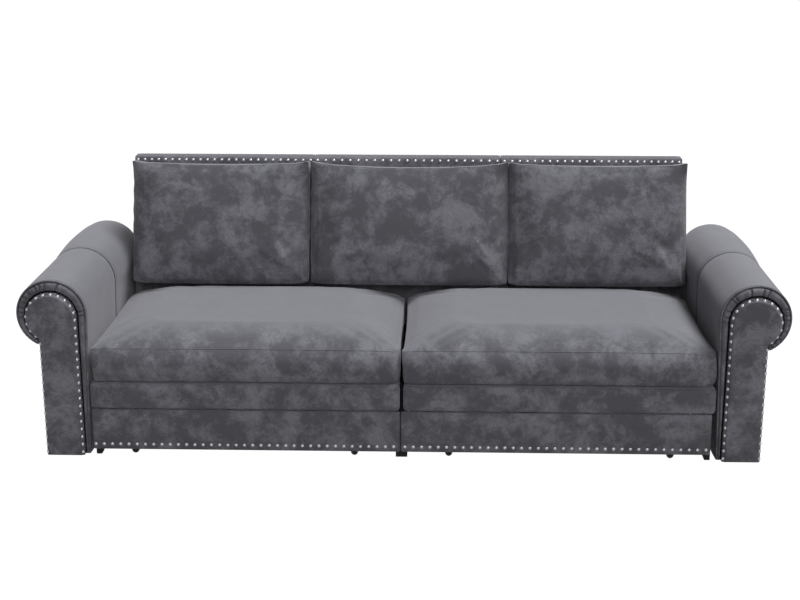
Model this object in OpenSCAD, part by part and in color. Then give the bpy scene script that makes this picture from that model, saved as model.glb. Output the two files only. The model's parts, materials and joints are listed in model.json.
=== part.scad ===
// Roll-arm sofa bed with two pull-out bed sections.
// Millimetres. X runs along the sofa, the front faces -Y, the floor is Z = 0,
// and the origin is on the floor in the middle of the sofa's width and depth.

/* [Overall] */
// Width over both arm rolls
sofa_w = 2616; // [2400:2:2900]
// Depth from the arms' front panels to the rear face
sofa_d = 926; // [910:2:960]
// Height of the back above the floor
back_h = 897; // [870:1:930]
// Height of the glides under the arms
glide_h = 4; // [3:1:8]

/* [Arms] */
// Radius of the arm roll on its front section
roll_r = 120; // [110:1:126]
// Height of the roll's centre line above the floor
roll_z = 510; // [490:1:530]
// How far the roll hangs out past the upright part of the arm
roll_overhang = 73; // [66:1:80]
// Angle at which the arm's inner face leans out below the roll, in degrees
arm_lean = 1.7; // [1:0.1:3]
// How far the arms stop short of the sofa's rear face
arm_rear_gap = 14; // [0:1:30]
// Length of the arm's front section
sleeve_len = 441; // [400:1:480]
// How far the rear section lies inside the front one all round
sleeve_step = 2; // [2:0.5:5]
// Radius of the round head of the front panel
panel_r = 89; // [80:1:91]
// How far the panel's head lies below the roll's centre line
panel_drop = 10; // [5:1:14]
// How far the panel's head lies outward of the roll's centre line
panel_shift = 1; // [0:1:6]
// Width of the panel's straight post
panel_post_w = 134; // [124:1:136]
// Thickness of the raised front panel
panel_t = 22; // [20:1:26]
// Depth of the slanting edge round the front panel, where the nails sit
panel_edge = 9; // [8.6:0.2:11]
// How far the front panel stands proud of the seat's front plane
panel_proud = 8; // [5:1:9]
// Thickness of the pleated border strip round the panel
border_t = 8; // [6:0.5:8]
// Diameter of the piping on the arm's front edge
welt_d = 7; // [5:0.5:9]
// Diameter of the piping on the seam at mid length
seam_welt_d = 5; // [3:0.5:6]
// Angle round the roll at which both cords end on the outer side, in degrees
welt_end_angle = -57; // [-60:1:-50]
// Height of the front cord's lower end above the arm's lower edge
welt_lift = 2; // [1:1:10]

/* [Arm frame] */
// Thickness of the upright board inside each arm
arm_board_t = 18; // [15:1:22]
// Distance from the roll's centre line to the board's inner face
arm_board_in = 57; // [50:1:64]
// Radius of the timber rail inside the roll
roll_rail_r = 45; // [42:1:55]
// Width of the timber base rail
base_rail_w = 80; // [60:1:90]
// Height of the timber base rail
base_rail_h = 40; // [30:1:50]
// How far the frame stops short of each end of the arm's covers
arm_frame_inset = 16; // [12:1:40]
// Radius of the glides
glide_r = 12; // [8:1:16]
// Distance of the glides from the frame's ends
glide_inset = 40; // [20:1:80]

/* [Back] */
// Width of the middle segment
seg_mid_w = 717; // [660:1:760]
// Gap between neighbouring segments
seg_gap = 3; // [2:0.5:6]
// Gap between an outer segment and the arm
back_side_gap = 14; // [8:1:20]
// Thickness of the back at its top
back_top_t = 73; // [70:1:80]
// How far the front face runs back over its height
back_run = 145; // [130:1:150]
// Radius of the rounded top edges
back_edge_r = 8; // [4:1:10]
// Height of the back's lower edge above the floor
back_foot_z = 45; // [35:1:55]
// Depth of the back below the seat
skirt_t = 138; // [130:1:144]
// Padding between the skirt's face and the frame posts
skirt_pad = 12; // [8:1:16]
// Padding between the front face and the frame's top
top_pad = 24; // [18:1:26]
// Thickness of the frame's board
back_board_t = 18; // [12:1:20]
// Height of the frame's lower edge above the back's lower edge
back_frame_lift = 15; // [8:1:20]
// Height above the rear rail at which the frame's posts start to lean
back_post_step = 30; // [20:1:40]
// Height of the back bolts above the rear rail's lower edge
back_bolt_rise = 50; // [40:1:70]
// Thickness of the rear panel that closes each segment
back_cover_t = 5; // [3:0.5:8]
// Height of the rear panel's lower edge above the back's lower edge
back_cover_lift = 3; // [2:1:6]
// Width of each frame post
back_post_w = 45; // [35:1:60]
// Padding at the frame's ends, top and bottom
back_frame_pad = 25; // [20:1:30]
// Margin round the rear panel
back_cover_margin = 12; // [8:1:16]
// Height of the frame's bottom rail
back_rail_h = 45; // [35:1:60]

/* [Deck] */
// Height of the padded band's lower edge
band_z = 176; // [170:1:180]
// Height of the padded band
band_h = 92; // [86:1:98]
// Thickness of the band's front padding
band_t = 20; // [17:1:24]
// Radius of the band's rounded ends
band_end_r = 14; // [6:1:20]
// How far the band hangs below the deck frame
band_drop = 2; // [1:1:4]
// Thickness of the padding on top of the slats
deck_pad_t = 28; // [20:1:32]
// Gap between the two bands in the middle
band_gap = 12; // [8:1:16]
// Gap between a band and the arm's roll line
band_side_gap = -2; // [-4:1:2]
// Width of the deck frame's front and rear rails
deck_rail_t = 22; // [18:1:30]
// Width of the deck frame's end rails
end_rail_t = 45; // [42:1:55]
// Gap between the deck frame's end and the arm's roll line
deck_end_gap = 7; // [6:1:9]
// Gap between the two deck frames
deck_mid_gap = 2; // [1:1:6]
// Thickness of the deck slats
deck_slat_t = 8; // [6:1:12]
// Width of the deck slats
deck_slat_w = 55; // [40:1:60]
// Number of slats in each deck
deck_slats_n = 9; // [6:1:10]
// Width of the spacers between the deck frame and the arm
spacer_w = 50; // [40:1:70]

/* [Base] */
// Thickness of the rear rail, front to back
rear_rail_t = 45; // [38:1:50]
// Height of the rear rail's lower edge
rear_rail_z = 100; // [90:1:110]
// Gap between the rear rail's top and the seat cushions' level
rear_rail_gap = -2; // [-3:1:-1]
// Width of the centre beam and the middle legs
beam_w = 40; // [34:1:46]
// Height of the centre beam
beam_h = 78; // [65:1:80]
// Thickness of the legs, front to back
leg_t = 32; // [26:1:36]
// Width of the outer legs
leg_w = 30; // [27:1:30]
// Width of the outer legs' tapered foot at the floor
leg_foot_w = 19; // [14:1:24]
// Height of the tapered foot
leg_taper_h = 27; // [20:1:30]
// Gap between the outer legs and the arm's roll line
leg_side_gap = 3; // [1:1:6]
// Gap between the pull-out fronts and the front legs
leg_front_gap = 4; // [3:1:8]
// Height of the guide battens
guide_h = 66; // [55:1:68]
// Radius of the frame bolts
bolt_r = 4; // [3:0.5:5]
// Clearance round the frame bolts
bolt_clear = 0.1; // [0.1:0.1:0.5]

/* [Pull-out sections] */
// Length of a section that stays inside the sofa when it is pulled out
section_hold = 84; // [84:1:184]
// Height of the fronts' lower edge
front_z = 25; // [22:1:30]
// Height of the fronts
front_h = 147; // [140:1:148]
// Thickness of the padded fronts
front_t = 16; // [14:1:17]
// Gap between the two fronts
front_gap = 3; // [2:1:6]
// Gap between a front and the arm's roll line
front_side_gap = 2.5; // [2:0.5:10]
// How far both fronts sit to one side of the middle
front_shift = -4; // [-4:1:4]
// Radius of the fronts' rounded corners
front_r = 3; // [1:0.5:6]
// Gap between a section and the rear rail
section_rear_gap = 35; // [25:1:45]
// Gap between a section and the outer legs' line
section_side_gap = 16; // [12:1:20]
// Height of the section's frame above the floor
rail_z = 43; // [42:1:48]
// Height of the section's frame rails
rail_h = 50; // [40:1:52]
// Width of the section's front and rear rails
rail_w = 40; // [38:1:50]
// Width of the section's side rails
side_rail_w = 20; // [16:1:24]
// Thickness of the section's slats
slat_t = 9; // [8:1:12]
// Width of the section's slats
slat_w = 45; // [35:1:50]
// Number of slats in each section
slats_n = 9; // [6:1:10]
// Gap between a slat's ends and what it lies beside
slat_end_gap = 2; // [1:1:5]
// Thickness of the low mattress
mattress_t = 64; // [55:1:64]
// Margin between the mattress and the section's sides
mattress_margin = 26; // [24:1:40]
// Gap between the mattress's ends and the front or the stop post
mattress_end_gap = 8; // [4:1:20]
// Radius of the mattress's rounded edges
mattress_r = 12; // [6:1:20]
// Length of the stops, front to back
stop_t = 20; // [15:1:25]
// Distance of the stop post from the section's rear end
stop_inset = 15; // [5:1:30]
// Gap between the stop post and the mattress's side
stop_gap = 6; // [3:1:8]
// How far the stop post stays below the mattress's top
stop_drop = 5; // [2:1:10]
// Sliding gap at the guides
guide_gap = 0.5; // [0.3:0.1:1]

/* [Wheels] */
// Radius of the wheels
wheel_r = 18; // [16:0.5:19]
// Width of the wheels
wheel_w = 24; // [20:1:28]
// Radius of the round tread
tread_r = 12.5; // [11:0.5:16]
// Radius of the axles
axle_r = 3; // [2:0.5:3.5]
// Running clearance round the axles
axle_clear = 0.05; // [0.02:0.01:0.1]
// Thickness of the fork's sheet steel
fork_t = 2; // [1.5:0.5:2]
// Gap between the wheel and the fork's cheeks
fork_gap = 0.5; // [0.3:0.1:1]
// How far the fork's plate reaches past the wheel at each side
fork_plate_margin = 10; // [6:1:12]
// How far the fork's plate stays inside the rail's width
fork_plate_inset = 1; // [0.5:0.5:4]
// How far the axle's riveted ends stand out of the fork
axle_end = 1; // [0.5:0.5:2]
// Distance of the inner wheels from the middle of the sofa
wheel_in_x = 164; // [120:1:240]
// Distance of the outer wheels from the section's outer side
wheel_out_inset = 89; // [60:1:150]

/* [Cushions] */
// Gap between a soft piece and its neighbour
soft_gap = 0.3; // [0.3:0.1:2]
// Height of a seat cushion at its edge seam
seat_edge_h = 132; // [110:1:140]
// Rise of the seat cushion's crown above the seam
seat_crown = 51; // [30:1:55]
// Gap between the two seat cushions
seat_mid_gap = 4; // [2:1:12]
// Gap between a seat cushion and the arm's roll line
seat_side_gap = 3; // [2:1:14]
// Gap between the seat cushions and the back's face at the seat
seat_rear_gap = 8; // [7:1:30]
// How far the seat cushions lie behind the front plane
seat_setback = 2; // [0:1:4]
// Width of the middle back cushion
cush_mid_w = 744; // [700:1:760]
// Gap between neighbouring back cushions
cush_gap = 6; // [4:1:12]
// Gap between an outer back cushion and the arm's roll line
cush_side_gap = 22; // [19:1:50]
// Gap between the back cushions' rear top edge and the nail heads above it
cush_nail_gap = 4; // [1:0.5:10]
// Thickness of a back cushion at its bottom seam
cush_bottom_t = 150; // [120:1:160]
// Thickness of a back cushion at its top seam
cush_top_t = 108; // [90:1:120]
// How much higher a back cushion's front top seam is than its rear top edge
cush_top_rise = 21; // [8:1:24]
// Rise of the back cushion's crown in front of the seam
cush_crown = 22; // [10:1:30]
// How far the cushions' sides draw in between the corners
draw_in = 7; // [3:1:12]
// How far the edge of a cushion's flat side lies inside its seam
cush_edge_in = 10; // [8:1:16]
// How far a cushion's sides bulge past its seam
cush_bulge = 1.5; // [0:0.5:1.5]

/* [Nails] */
// Radius of the domed nail heads
nail_r = 6; // [4:0.5:6.5]
// Height of the domed nail heads
nail_h = 3; // [2:0.5:4]
// Length of the nail shanks
shank_len = 8; // [6:1:10]
// Radius of the nail shanks
shank_r = 0.9; // [0.6:0.1:1.2]
// Number of nails round each arm panel
arm_nails_n = 46; // [30:1:60]
// Number of nails on each outer back segment
outer_nails_n = 25; // [15:1:27]
// Number of nails on the middle back segment
mid_nails_n = 23; // [15:1:25]
// How much the outer rows close up towards the arms, as a share of their length
row_spread = 0.06; // [0:0.01:0.1]
// Number of nails on each pull-out front
front_nails_n = 37; // [25:1:40]
// Distance of a nail row from the edge that it follows
nail_inset = 12; // [9:1:14]
// Height of the front nails above the fronts' lower edge
front_nail_z = 20; // [12:1:30]
// Margin at each end of the front nail rows
front_nail_margin = 15; // [10:1:30]
// How far the left front's nail row sits left of centre
left_row_shift = 6; // [0:1:8]

/* [Hidden] */
$fn = 64;

LEFT = -1;
MIDDLE = 0;
RIGHT = 1;

velvet = "#5a5a60";
timber = "#c9a878";
steel = "#a9abae";
nickel = "#c4c4c6";
black = "#1b1b1d";
ticking = "#d9d6cf";

// Depth stations: the front plane carries the bands and the pull-out fronts
front_y = panel_proud - sofa_d / 2;
rear_y = sofa_d / 2;
sleeve_y = front_y + panel_t - panel_proud;
seam_y = sleeve_y + sleeve_len;
arm_end_y = rear_y - arm_rear_gap;

// Arm sections, seen from the front; positions are given for the right arm
roll_x = sofa_w / 2 - roll_r;
roll_in_x = roll_x - roll_r;
post_out_x = sofa_w / 2 - roll_overhang;
panel_x = roll_x + panel_shift;
panel_z = roll_z - panel_drop;
panel_in_x = panel_x - panel_r;
panel_out_x = panel_in_x + panel_post_w;
board_in_x = roll_x - arm_board_in;
frame_y0 = sleeve_y + arm_frame_inset;
frame_y1 = arm_end_y - arm_frame_inset;

// Levels of the seat
deck_z = band_z + band_h;
deck_rail_z0 = band_z + band_drop;
deck_rail_z1 = deck_z - deck_pad_t - deck_slat_t;
deck_rail_h = deck_rail_z1 - deck_rail_z0;
deck_frame_y0 = front_y + band_t;
rail_y1 = rear_y - skirt_t;
rail_y0 = rail_y1 - rear_rail_t;
rear_rail_top = deck_z - rear_rail_gap;
deck_out_x = roll_in_x - deck_end_gap;
band_out_x = roll_in_x - band_side_gap;
seat_out_x = roll_in_x - seat_side_gap;

// Back: the front face runs from the rear rail's top to the back's top
back_face_y1 = rear_y - back_top_t;
back_face_y0 = back_face_y1 - back_run;
back_lean = atan(back_run / (back_h - rear_rail_top));
seg_seam_x = seg_mid_w / 2;
back_out_x = roll_in_x - back_side_gap;
seg_out_w = back_out_x - seg_seam_x - seg_gap;
seg_out_x = seg_seam_x + seg_gap + seg_out_w / 2;
post_y0 = rail_y1 + skirt_pad;
back_frame_z = back_foot_z + back_frame_lift;
board_y0 = rear_y - back_cover_t - back_board_t;
board_y1 = rear_y - back_cover_t;
post_inset = back_frame_pad + back_post_w / 2;

// Pull-out sections
beam_half = beam_w / 2;
beam_z = deck_rail_z0 - beam_h;
section_x0 = beam_half + guide_gap;
leg_in_x = roll_in_x - leg_side_gap - leg_w;
section_x1 = leg_in_x - section_side_gap;
section_y0 = front_y + front_t;
section_y1 = rail_y0 - section_rear_gap;
section_d = section_y1 - section_y0;
travel = section_d - section_hold;
front_w = roll_in_x - front_gap / 2 - front_side_gap;
slat_z = rail_z + rail_h;
mattress_z = slat_z + slat_t + soft_gap;
stop_post_y = section_y1 - stop_inset - stop_t;
stop_y1 = stop_post_y - travel - guide_gap;
stop_w = mattress_margin - stop_gap;
leg_y0 = section_y0 + leg_front_gap;
guide_x0 = section_x1 + guide_gap;
wheel_front_y = section_y0 + rail_w / 2;
wheel_rear_y = section_y1 - rail_w / 2;
wheel_out_x = section_x1 - wheel_out_inset;

// Bolts: two through each arm, two into each back segment
arm_bolt_z = deck_rail_z0 + deck_rail_h / 2;
arm_bolt_ys = [sleeve_y + sleeve_len / 3, seam_y + sleeve_len / 3];
back_bolt_z = rear_rail_z + back_bolt_rise;
head_r = 2 * bolt_r;
head_t = 1.2 * bolt_r;

// Overrun of a cut past the faces that it opens
cut = 1;

// Cushions
seat_z = deck_z + soft_gap;
seat_top_z = seat_z + seat_edge_h + seat_crown;
seat_y0 = front_y + seat_setback;
seat_d = back_face_y0 - seat_rear_gap - seat_y0;
cush_z = seat_top_z + soft_gap;
cush_h = back_h - nail_inset - nail_r - cush_nail_gap - cush_z;
cush_out_x = roll_in_x - cush_side_gap;

// The arm's inner face touches the roll here and leans out below
function lean_start(r) = [roll_x - r * cos(arm_lean), roll_z - r * sin(arm_lean)];
function arm_in_x(z, r) = lean_start(r).x + (lean_start(r).y - z) * tan(arm_lean);

// Draws its children for the given side of the sofa
module on_side(side) {
    if (side < 0) mirror([1, 0, 0]) children();
    else children();
}

// Box given by its lowest and highest corners
module block(low, high) {
    translate(low) cube(high - low);
}

// Turns a shape drawn in X and Z into a slab from y0 to y1
module slab(y0, y1) {
    translate([0, y1, 0]) rotate([90, 0, 0]) linear_extrude(y1 - y0) children();
}

// Turns a shape drawn in Y and Z into a slab from x0 to x1
module side_slab(x0, x1) {
    translate([x0, 0, 0]) rotate([90, 0, 90]) linear_extrude(x1 - x0) children();
}

module rounded_box(low, high, r) {
    translate([low.x + r, low.y]) square([high.x - low.x - 2 * r, high.y - low.y]);
    translate([low.x, low.y + r]) square([high.x - low.x, high.y - low.y - 2 * r]);
    for (x = [low.x + r, high.x - r]) {
        for (y = [low.y + r, high.y - r]) translate([x, y]) circle(r);
    }
}

// ARMS

// Outline of the arm seen from the front, drawn in by inset
module arm_outline(inset) {
    r = roll_r - inset;
    translate([roll_x, roll_z]) circle(r);
    polygon([
        [arm_in_x(glide_h, r), glide_h],
        [post_out_x - inset, glide_h],
        [post_out_x - inset, roll_z],
        [roll_x, roll_z],
        lean_start(r)
    ]);
}

module panel_outline() {
    translate([panel_x, panel_z]) circle(panel_r);
    translate([panel_in_x, glide_h]) square([panel_post_w, panel_z - glide_h]);
}

// Board, base rail and roll rail, glued and screwed together
module arm_frame_solid() {
    block([board_in_x, frame_y0, glide_h], [board_in_x + arm_board_t, frame_y1, roll_z]);
    block([board_in_x, frame_y0, glide_h],
          [board_in_x + base_rail_w, frame_y1, glide_h + base_rail_h]);
    translate([roll_x, frame_y1, roll_z]) rotate([90, 0, 0])
        cylinder(h = frame_y1 - frame_y0, r = roll_rail_r);
}

module arm_bolt_shafts(r) {
    for (y = arm_bolt_ys) {
        translate([deck_out_x - end_rail_t, y, arm_bolt_z]) rotate([0, 90, 0])
            cylinder(h = board_in_x + arm_board_t - deck_out_x + end_rail_t, r = r, $fn = 24);
    }
}

module arm_frame(side) {
    color(timber) on_side(side) difference() {
        arm_frame_solid();
        arm_bolt_shafts(bolt_r + bolt_clear);
    }
}

module arm_front(side) {
    color(velvet) on_side(side) difference() {
        slab(sleeve_y, seam_y) arm_outline(0);
        arm_frame_solid();
        arm_bolt_shafts(bolt_r + bolt_clear);
    }
}

module arm_rear(side) {
    color(velvet) on_side(side) difference() {
        slab(seam_y, arm_end_y) arm_outline(sleeve_step);
        arm_frame_solid();
        arm_bolt_shafts(bolt_r + bolt_clear);
    }
}

module arm_panel(side) {
    edge_y = sleeve_y - panel_t + panel_edge;
    face_y = sleeve_y - panel_t;
    color(velvet) on_side(side) {
        slab(edge_y, sleeve_y) panel_outline();
        translate([panel_x, edge_y, panel_z]) rotate([90, 0, 0])
            cylinder(h = panel_edge, r1 = panel_r, r2 = panel_r - panel_edge);
        translate([0, 0, glide_h]) linear_extrude(panel_z - glide_h) polygon([
            [panel_in_x, edge_y],
            [panel_in_x + panel_edge, face_y],
            [panel_out_x - panel_edge, face_y],
            [panel_out_x, edge_y]
        ]);
    }
}

// The strip between the panel and the piping
module arm_border(side) {
    color(velvet) on_side(side) slab(sleeve_y - border_t, sleeve_y) difference() {
        arm_outline(welt_d);
        panel_outline();
    }
}

// Cord round the roll and down the arm's inner face
module arm_cord(inset, r, y, low_z) {
    arc_r = roll_r - inset;
    run = (lean_start(arc_r).y - low_z) / cos(arm_lean);
    translate([roll_x, y, roll_z]) rotate([90, 0, 0]) rotate([0, 0, 180 + arm_lean]) {
        rotate_extrude(angle = welt_end_angle - 180 - arm_lean)
            translate([arc_r, 0]) circle(r, $fn = 24);
        translate([arc_r, 0, 0]) rotate([-90, 0, 0]) cylinder(h = run, r = r, $fn = 24);
    }
}

module arm_piping(side) {
    color(velvet) on_side(side) {
        arm_cord(welt_d / 2, welt_d / 2, sleeve_y - welt_d / 2, glide_h + welt_lift);
        arm_cord(sleeve_step - seam_welt_d / 2, seam_welt_d / 2, seam_y + seam_welt_d / 2, deck_z);
    }
}

// A nail with its shank along -Z and the underside of its head at Z = 0
module nail() {
    dome_r = (nail_r * nail_r + nail_h * nail_h) / (2 * nail_h);
    intersection() {
        translate([0, 0, nail_h - dome_r]) sphere(dome_r, $fn = 32);
        cylinder(h = nail_h, r = nail_r, $fn = 32);
    }
    translate([0, 0, -shank_len]) cylinder(h = shank_len, r = shank_r, $fn = 16);
}

// Path of the arm nails: up the inner edge, round the head, down the outer edge
nail_low_z = glide_h + nail_inset;
nail_rise = panel_z - nail_low_z;
neck_angle = -acos((panel_post_w - panel_r) / panel_r);
head_arc = PI * panel_r * (180 - neck_angle) / 180;
neck_z = panel_z + panel_r * sin(neck_angle);
nail_path = nail_rise + head_arc + neck_z - nail_low_z;

// Place [x, z, direction] of the nail at distance d along the path
function arm_nail(d) =
    d < nail_rise ? [panel_in_x, nail_low_z + d, 180]
    : d < nail_rise + head_arc ? head_nail(180 - (d - nail_rise) / panel_r * 180 / PI)
    : [panel_out_x, neck_z - (d - nail_rise - head_arc), 0];

function head_nail(a) = [panel_x + panel_r * cos(a), panel_z + panel_r * sin(a), a];

module arm_nails(side) {
    nail_y = sleeve_y - panel_t + panel_edge / 2;
    color(nickel) on_side(side) for (i = [0 : arm_nails_n - 1]) {
        place = arm_nail(i * nail_path / (arm_nails_n - 1));
        translate([place[0], nail_y, place[1]]) rotate([0, 90 - place[2], 0])
            translate([0, 0, -panel_edge / 2]) rotate([45, 0, 0]) nail();
    }
}

module glides() {
    color(black) for (side = [LEFT, RIGHT]) on_side(side) {
        for (y = [frame_y0 + glide_inset, frame_y1 - glide_inset]) {
            translate([board_in_x + base_rail_w / 2, y, 0]) cylinder(h = glide_h, r = glide_r);
        }
    }
}

// BACK

function seg_x(seg) = seg * seg_out_x;
function seg_w(seg) = seg == MIDDLE ? seg_mid_w : seg_out_w;
function face_y(z) = back_face_y0 + (z - rear_rail_top) * tan(back_lean);

// Section of a back segment: it hooks over the rear rail
module back_section() {
    edge_z = back_h - back_edge_r;
    rear_edge = [rear_y - back_edge_r, edge_z];
    front_edge = [face_y(edge_z) + back_edge_r / cos(back_lean), edge_z];
    polygon([
        [rail_y1, back_foot_z],
        [rear_y, back_foot_z],
        [rear_y, edge_z],
        [rear_edge.x, back_h],
        [front_edge.x, back_h],
        front_edge + back_edge_r * [-cos(back_lean), sin(back_lean)],
        [back_face_y0, rear_rail_top],
        [rail_y1, rear_rail_top]
    ]);
    for (edge = [rear_edge, front_edge]) translate(edge) circle(back_edge_r);
}

module back_post_section() {
    polygon([
        [post_y0, back_frame_z],
        [board_y0, back_frame_z],
        [board_y0, back_h - back_frame_pad],
        [face_y(back_h - back_frame_pad) + top_pad, back_h - back_frame_pad],
        [post_y0, rear_rail_top + back_post_step]
    ]);
}

// Board, two posts and a bottom rail
module back_frame_solid(seg) {
    half = seg_w(seg) / 2;
    in_x = half - back_frame_pad;
    translate([seg_x(seg), 0, 0]) {
        block([-in_x, board_y0, back_frame_z], [in_x, board_y1, back_h - back_frame_pad]);
        block([-in_x, post_y0, back_frame_z], [in_x, board_y0, back_frame_z + back_rail_h]);
        for (x = [-in_x, in_x - back_post_w]) side_slab(x, x + back_post_w) back_post_section();
    }
}

module back_bolt_shafts(r) {
    for (seg = [LEFT, MIDDLE, RIGHT]) {
        for (x = [post_inset - seg_w(seg) / 2, seg_w(seg) / 2 - post_inset]) {
            translate([seg_x(seg) + x, rail_y0, back_bolt_z]) rotate([-90, 0, 0])
                cylinder(h = board_y0 - rail_y0, r = r, $fn = 24);
        }
    }
}

module back_frame(seg) {
    color(timber) difference() {
        back_frame_solid(seg);
        back_bolt_shafts(bolt_r + bolt_clear);
    }
}

module back_cover_solid(seg) {
    half = seg_w(seg) / 2 - back_cover_margin;
    block([seg_x(seg) - half, board_y1, back_foot_z + back_cover_lift],
          [seg_x(seg) + half, rear_y, back_h - back_cover_margin]);
}

module back_pad(seg) {
    half = seg_w(seg) / 2;
    color(velvet) difference() {
        side_slab(seg_x(seg) - half, seg_x(seg) + half) back_section();
        back_frame_solid(seg);
        back_cover_solid(seg);
        back_bolt_shafts(bolt_r + bolt_clear);
    }
}

module back_covers() {
    color(velvet) for (seg = [LEFT, MIDDLE, RIGHT]) back_cover_solid(seg);
}

// Outer rows close up a little towards the arms
function outer_nail_x(i) =
    let (t = i / (outer_nails_n - 1), span = seg_out_w - 2 * nail_inset)
    seg_seam_x + seg_gap + nail_inset + span * (t + row_spread * t * (1 - t));

function mid_nail_x(i) =
    let (span = seg_mid_w - 2 * nail_inset)
    span * (i / (mid_nails_n - 1) - 0.5);

module back_nails() {
    nail_z = back_h - nail_inset;
    xs = concat([for (i = [0 : outer_nails_n - 1]) -outer_nail_x(i)],
                [for (i = [0 : mid_nails_n - 1]) mid_nail_x(i)],
                [for (i = [0 : outer_nails_n - 1]) outer_nail_x(i)]);
    color(nickel) for (x = xs) {
        translate([x, face_y(nail_z), nail_z]) rotate([90 - back_lean, 0, 0]) nail();
    }
}

// BASE

module rear_rail() {
    color(timber) difference() {
        block([-deck_out_x, rail_y0, rear_rail_z], [deck_out_x, rail_y1, rear_rail_top]);
        back_bolt_shafts(bolt_r + bolt_clear);
    }
}

module centre_beam() {
    color(timber) block([-beam_half, leg_y0 + leg_t, beam_z], [beam_half, rail_y0, deck_rail_z0]);
}

module centre_legs() {
    leg_y1 = (rail_y0 + rail_y1 + leg_t) / 2;
    color(black) {
        block([-beam_half, leg_y0, 0], [beam_half, leg_y0 + leg_t, deck_rail_z0]);
        block([-beam_half, leg_y1 - leg_t, 0], [beam_half, leg_y1, rear_rail_z]);
    }
}

// Square post with a foot that tapers on its inner side
module outer_leg(y0, top_z) {
    out_x = leg_in_x + leg_w;
    slab(y0, y0 + leg_t) polygon([
        [out_x, 0],
        [out_x, top_z],
        [leg_in_x, top_z],
        [leg_in_x, leg_taper_h],
        [out_x - leg_foot_w, 0]
    ]);
}

module outer_legs() {
    rear_leg_y = (rail_y0 + rail_y1 - leg_t) / 2;
    color(black) for (side = [LEFT, RIGHT]) on_side(side) {
        outer_leg(leg_y0, deck_rail_z0);
        outer_leg(rear_leg_y, rear_rail_z);
    }
}

// Batten beside each section, with the block that stops its travel
module guides() {
    color(timber) for (side = [LEFT, RIGHT]) on_side(side) {
        block([guide_x0, leg_y0 + leg_t, deck_rail_z0 - guide_h], [leg_in_x, rail_y0, deck_rail_z0]);
        block([section_x1 - stop_w, stop_y1 - stop_t, deck_rail_z0 - guide_h],
              [guide_x0, stop_y1, deck_rail_z0]);
    }
}

module frame_bolts() {
    color(steel) {
        for (side = [LEFT, RIGHT]) on_side(side) {
            arm_bolt_shafts(bolt_r);
            for (y = arm_bolt_ys) {
                translate([deck_out_x - end_rail_t - head_t, y, arm_bolt_z]) rotate([0, 90, 0])
                    cylinder(h = head_t, r = head_r, $fn = 24);
            }
        }
        back_bolt_shafts(bolt_r);
        for (seg = [LEFT, MIDDLE, RIGHT]) {
            for (x = [post_inset - seg_w(seg) / 2, seg_w(seg) / 2 - post_inset]) {
                translate([seg_x(seg) + x, rail_y0 - head_t, back_bolt_z]) rotate([-90, 0, 0])
                    cylinder(h = head_t, r = head_r, $fn = 24);
            }
        }
    }
}

// DECK

// Frame of four rails, with a spacer against the arm at each bolt
module deck_frame(side) {
    x0 = deck_mid_gap / 2;
    spacer_x = arm_in_x(deck_rail_z1, roll_r) - soft_gap;
    color(timber) on_side(side) difference() {
        union() {
            block([x0, deck_frame_y0, deck_rail_z0], [deck_out_x, rail_y0, deck_rail_z1]);
            for (y = arm_bolt_ys) {
                block([deck_out_x, y - spacer_w / 2, deck_rail_z0],
                      [spacer_x, y + spacer_w / 2, deck_rail_z1]);
            }
        }
        block([x0 + deck_rail_t, deck_frame_y0 + deck_rail_t, deck_rail_z0 - cut],
              [deck_out_x - end_rail_t, rail_y0 - deck_rail_t, deck_rail_z1 + cut]);
        arm_bolt_shafts(bolt_r + bolt_clear);
    }
}

module deck_slats(side) {
    x0 = deck_mid_gap / 2;
    pitch = (deck_out_x - x0 - deck_slat_w) / (deck_slats_n - 1);
    color(timber) on_side(side) for (i = [0 : deck_slats_n - 1]) {
        block([x0 + i * pitch, deck_frame_y0, deck_rail_z1],
              [x0 + i * pitch + deck_slat_w, rail_y0, deck_rail_z1 + deck_slat_t]);
    }
}

// Padded top of the deck; its front hangs over the frame as the band
module deck_pad(side) {
    x0 = band_gap / 2;
    color(velvet) on_side(side) {
        slab(front_y, deck_frame_y0) rounded_box([x0, band_z], [band_out_x, deck_z], band_end_r);
        block([x0 + band_end_r, deck_frame_y0, deck_z - deck_pad_t],
              [band_out_x - band_end_r, rail_y0, deck_z]);
    }
}

// PULL-OUT SECTIONS

// Middle of a front, measured from the middle of the sofa
function front_x(side) = side * (front_gap + front_w) / 2 + front_shift;

module section_front(side) {
    x0 = front_x(side) - front_w / 2;
    color(velvet) slab(front_y, section_y0)
        rounded_box([x0, front_z], [x0 + front_w, front_z + front_h], front_r);
}

module section_frame(side) {
    color(timber) on_side(side) {
        difference() {
            block([section_x0, section_y0, rail_z], [section_x1, section_y1, slat_z]);
            block([section_x0 + side_rail_w, section_y0 + rail_w, rail_z - cut],
                  [section_x1 - side_rail_w, section_y1 - rail_w, slat_z + cut]);
        }
        block([section_x1 - stop_w, stop_post_y, slat_z],
              [section_x1, stop_post_y + stop_t, mattress_z + mattress_t - stop_drop]);
    }
}

module section_slats(side) {
    pitch = (section_d - 2 * rail_w - slat_w) / (slats_n - 1);
    x0 = section_x0 + slat_end_gap;
    x1 = section_x1 - stop_w - slat_end_gap;
    color(timber) on_side(side) for (i = [0 : slats_n - 1]) {
        y0 = section_y0 + rail_w + i * pitch;
        block([x0, y0, slat_z], [x1, y0 + slat_w, slat_z + slat_t]);
    }
}

module mattress(side) {
    low = [section_y0 + mattress_end_gap, mattress_z];
    high = [stop_post_y - mattress_end_gap, mattress_z + mattress_t];
    color(ticking) on_side(side)
        side_slab(section_x0 + mattress_margin, section_x1 - mattress_margin)
            rounded_box(low, high, mattress_r);
}

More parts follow.
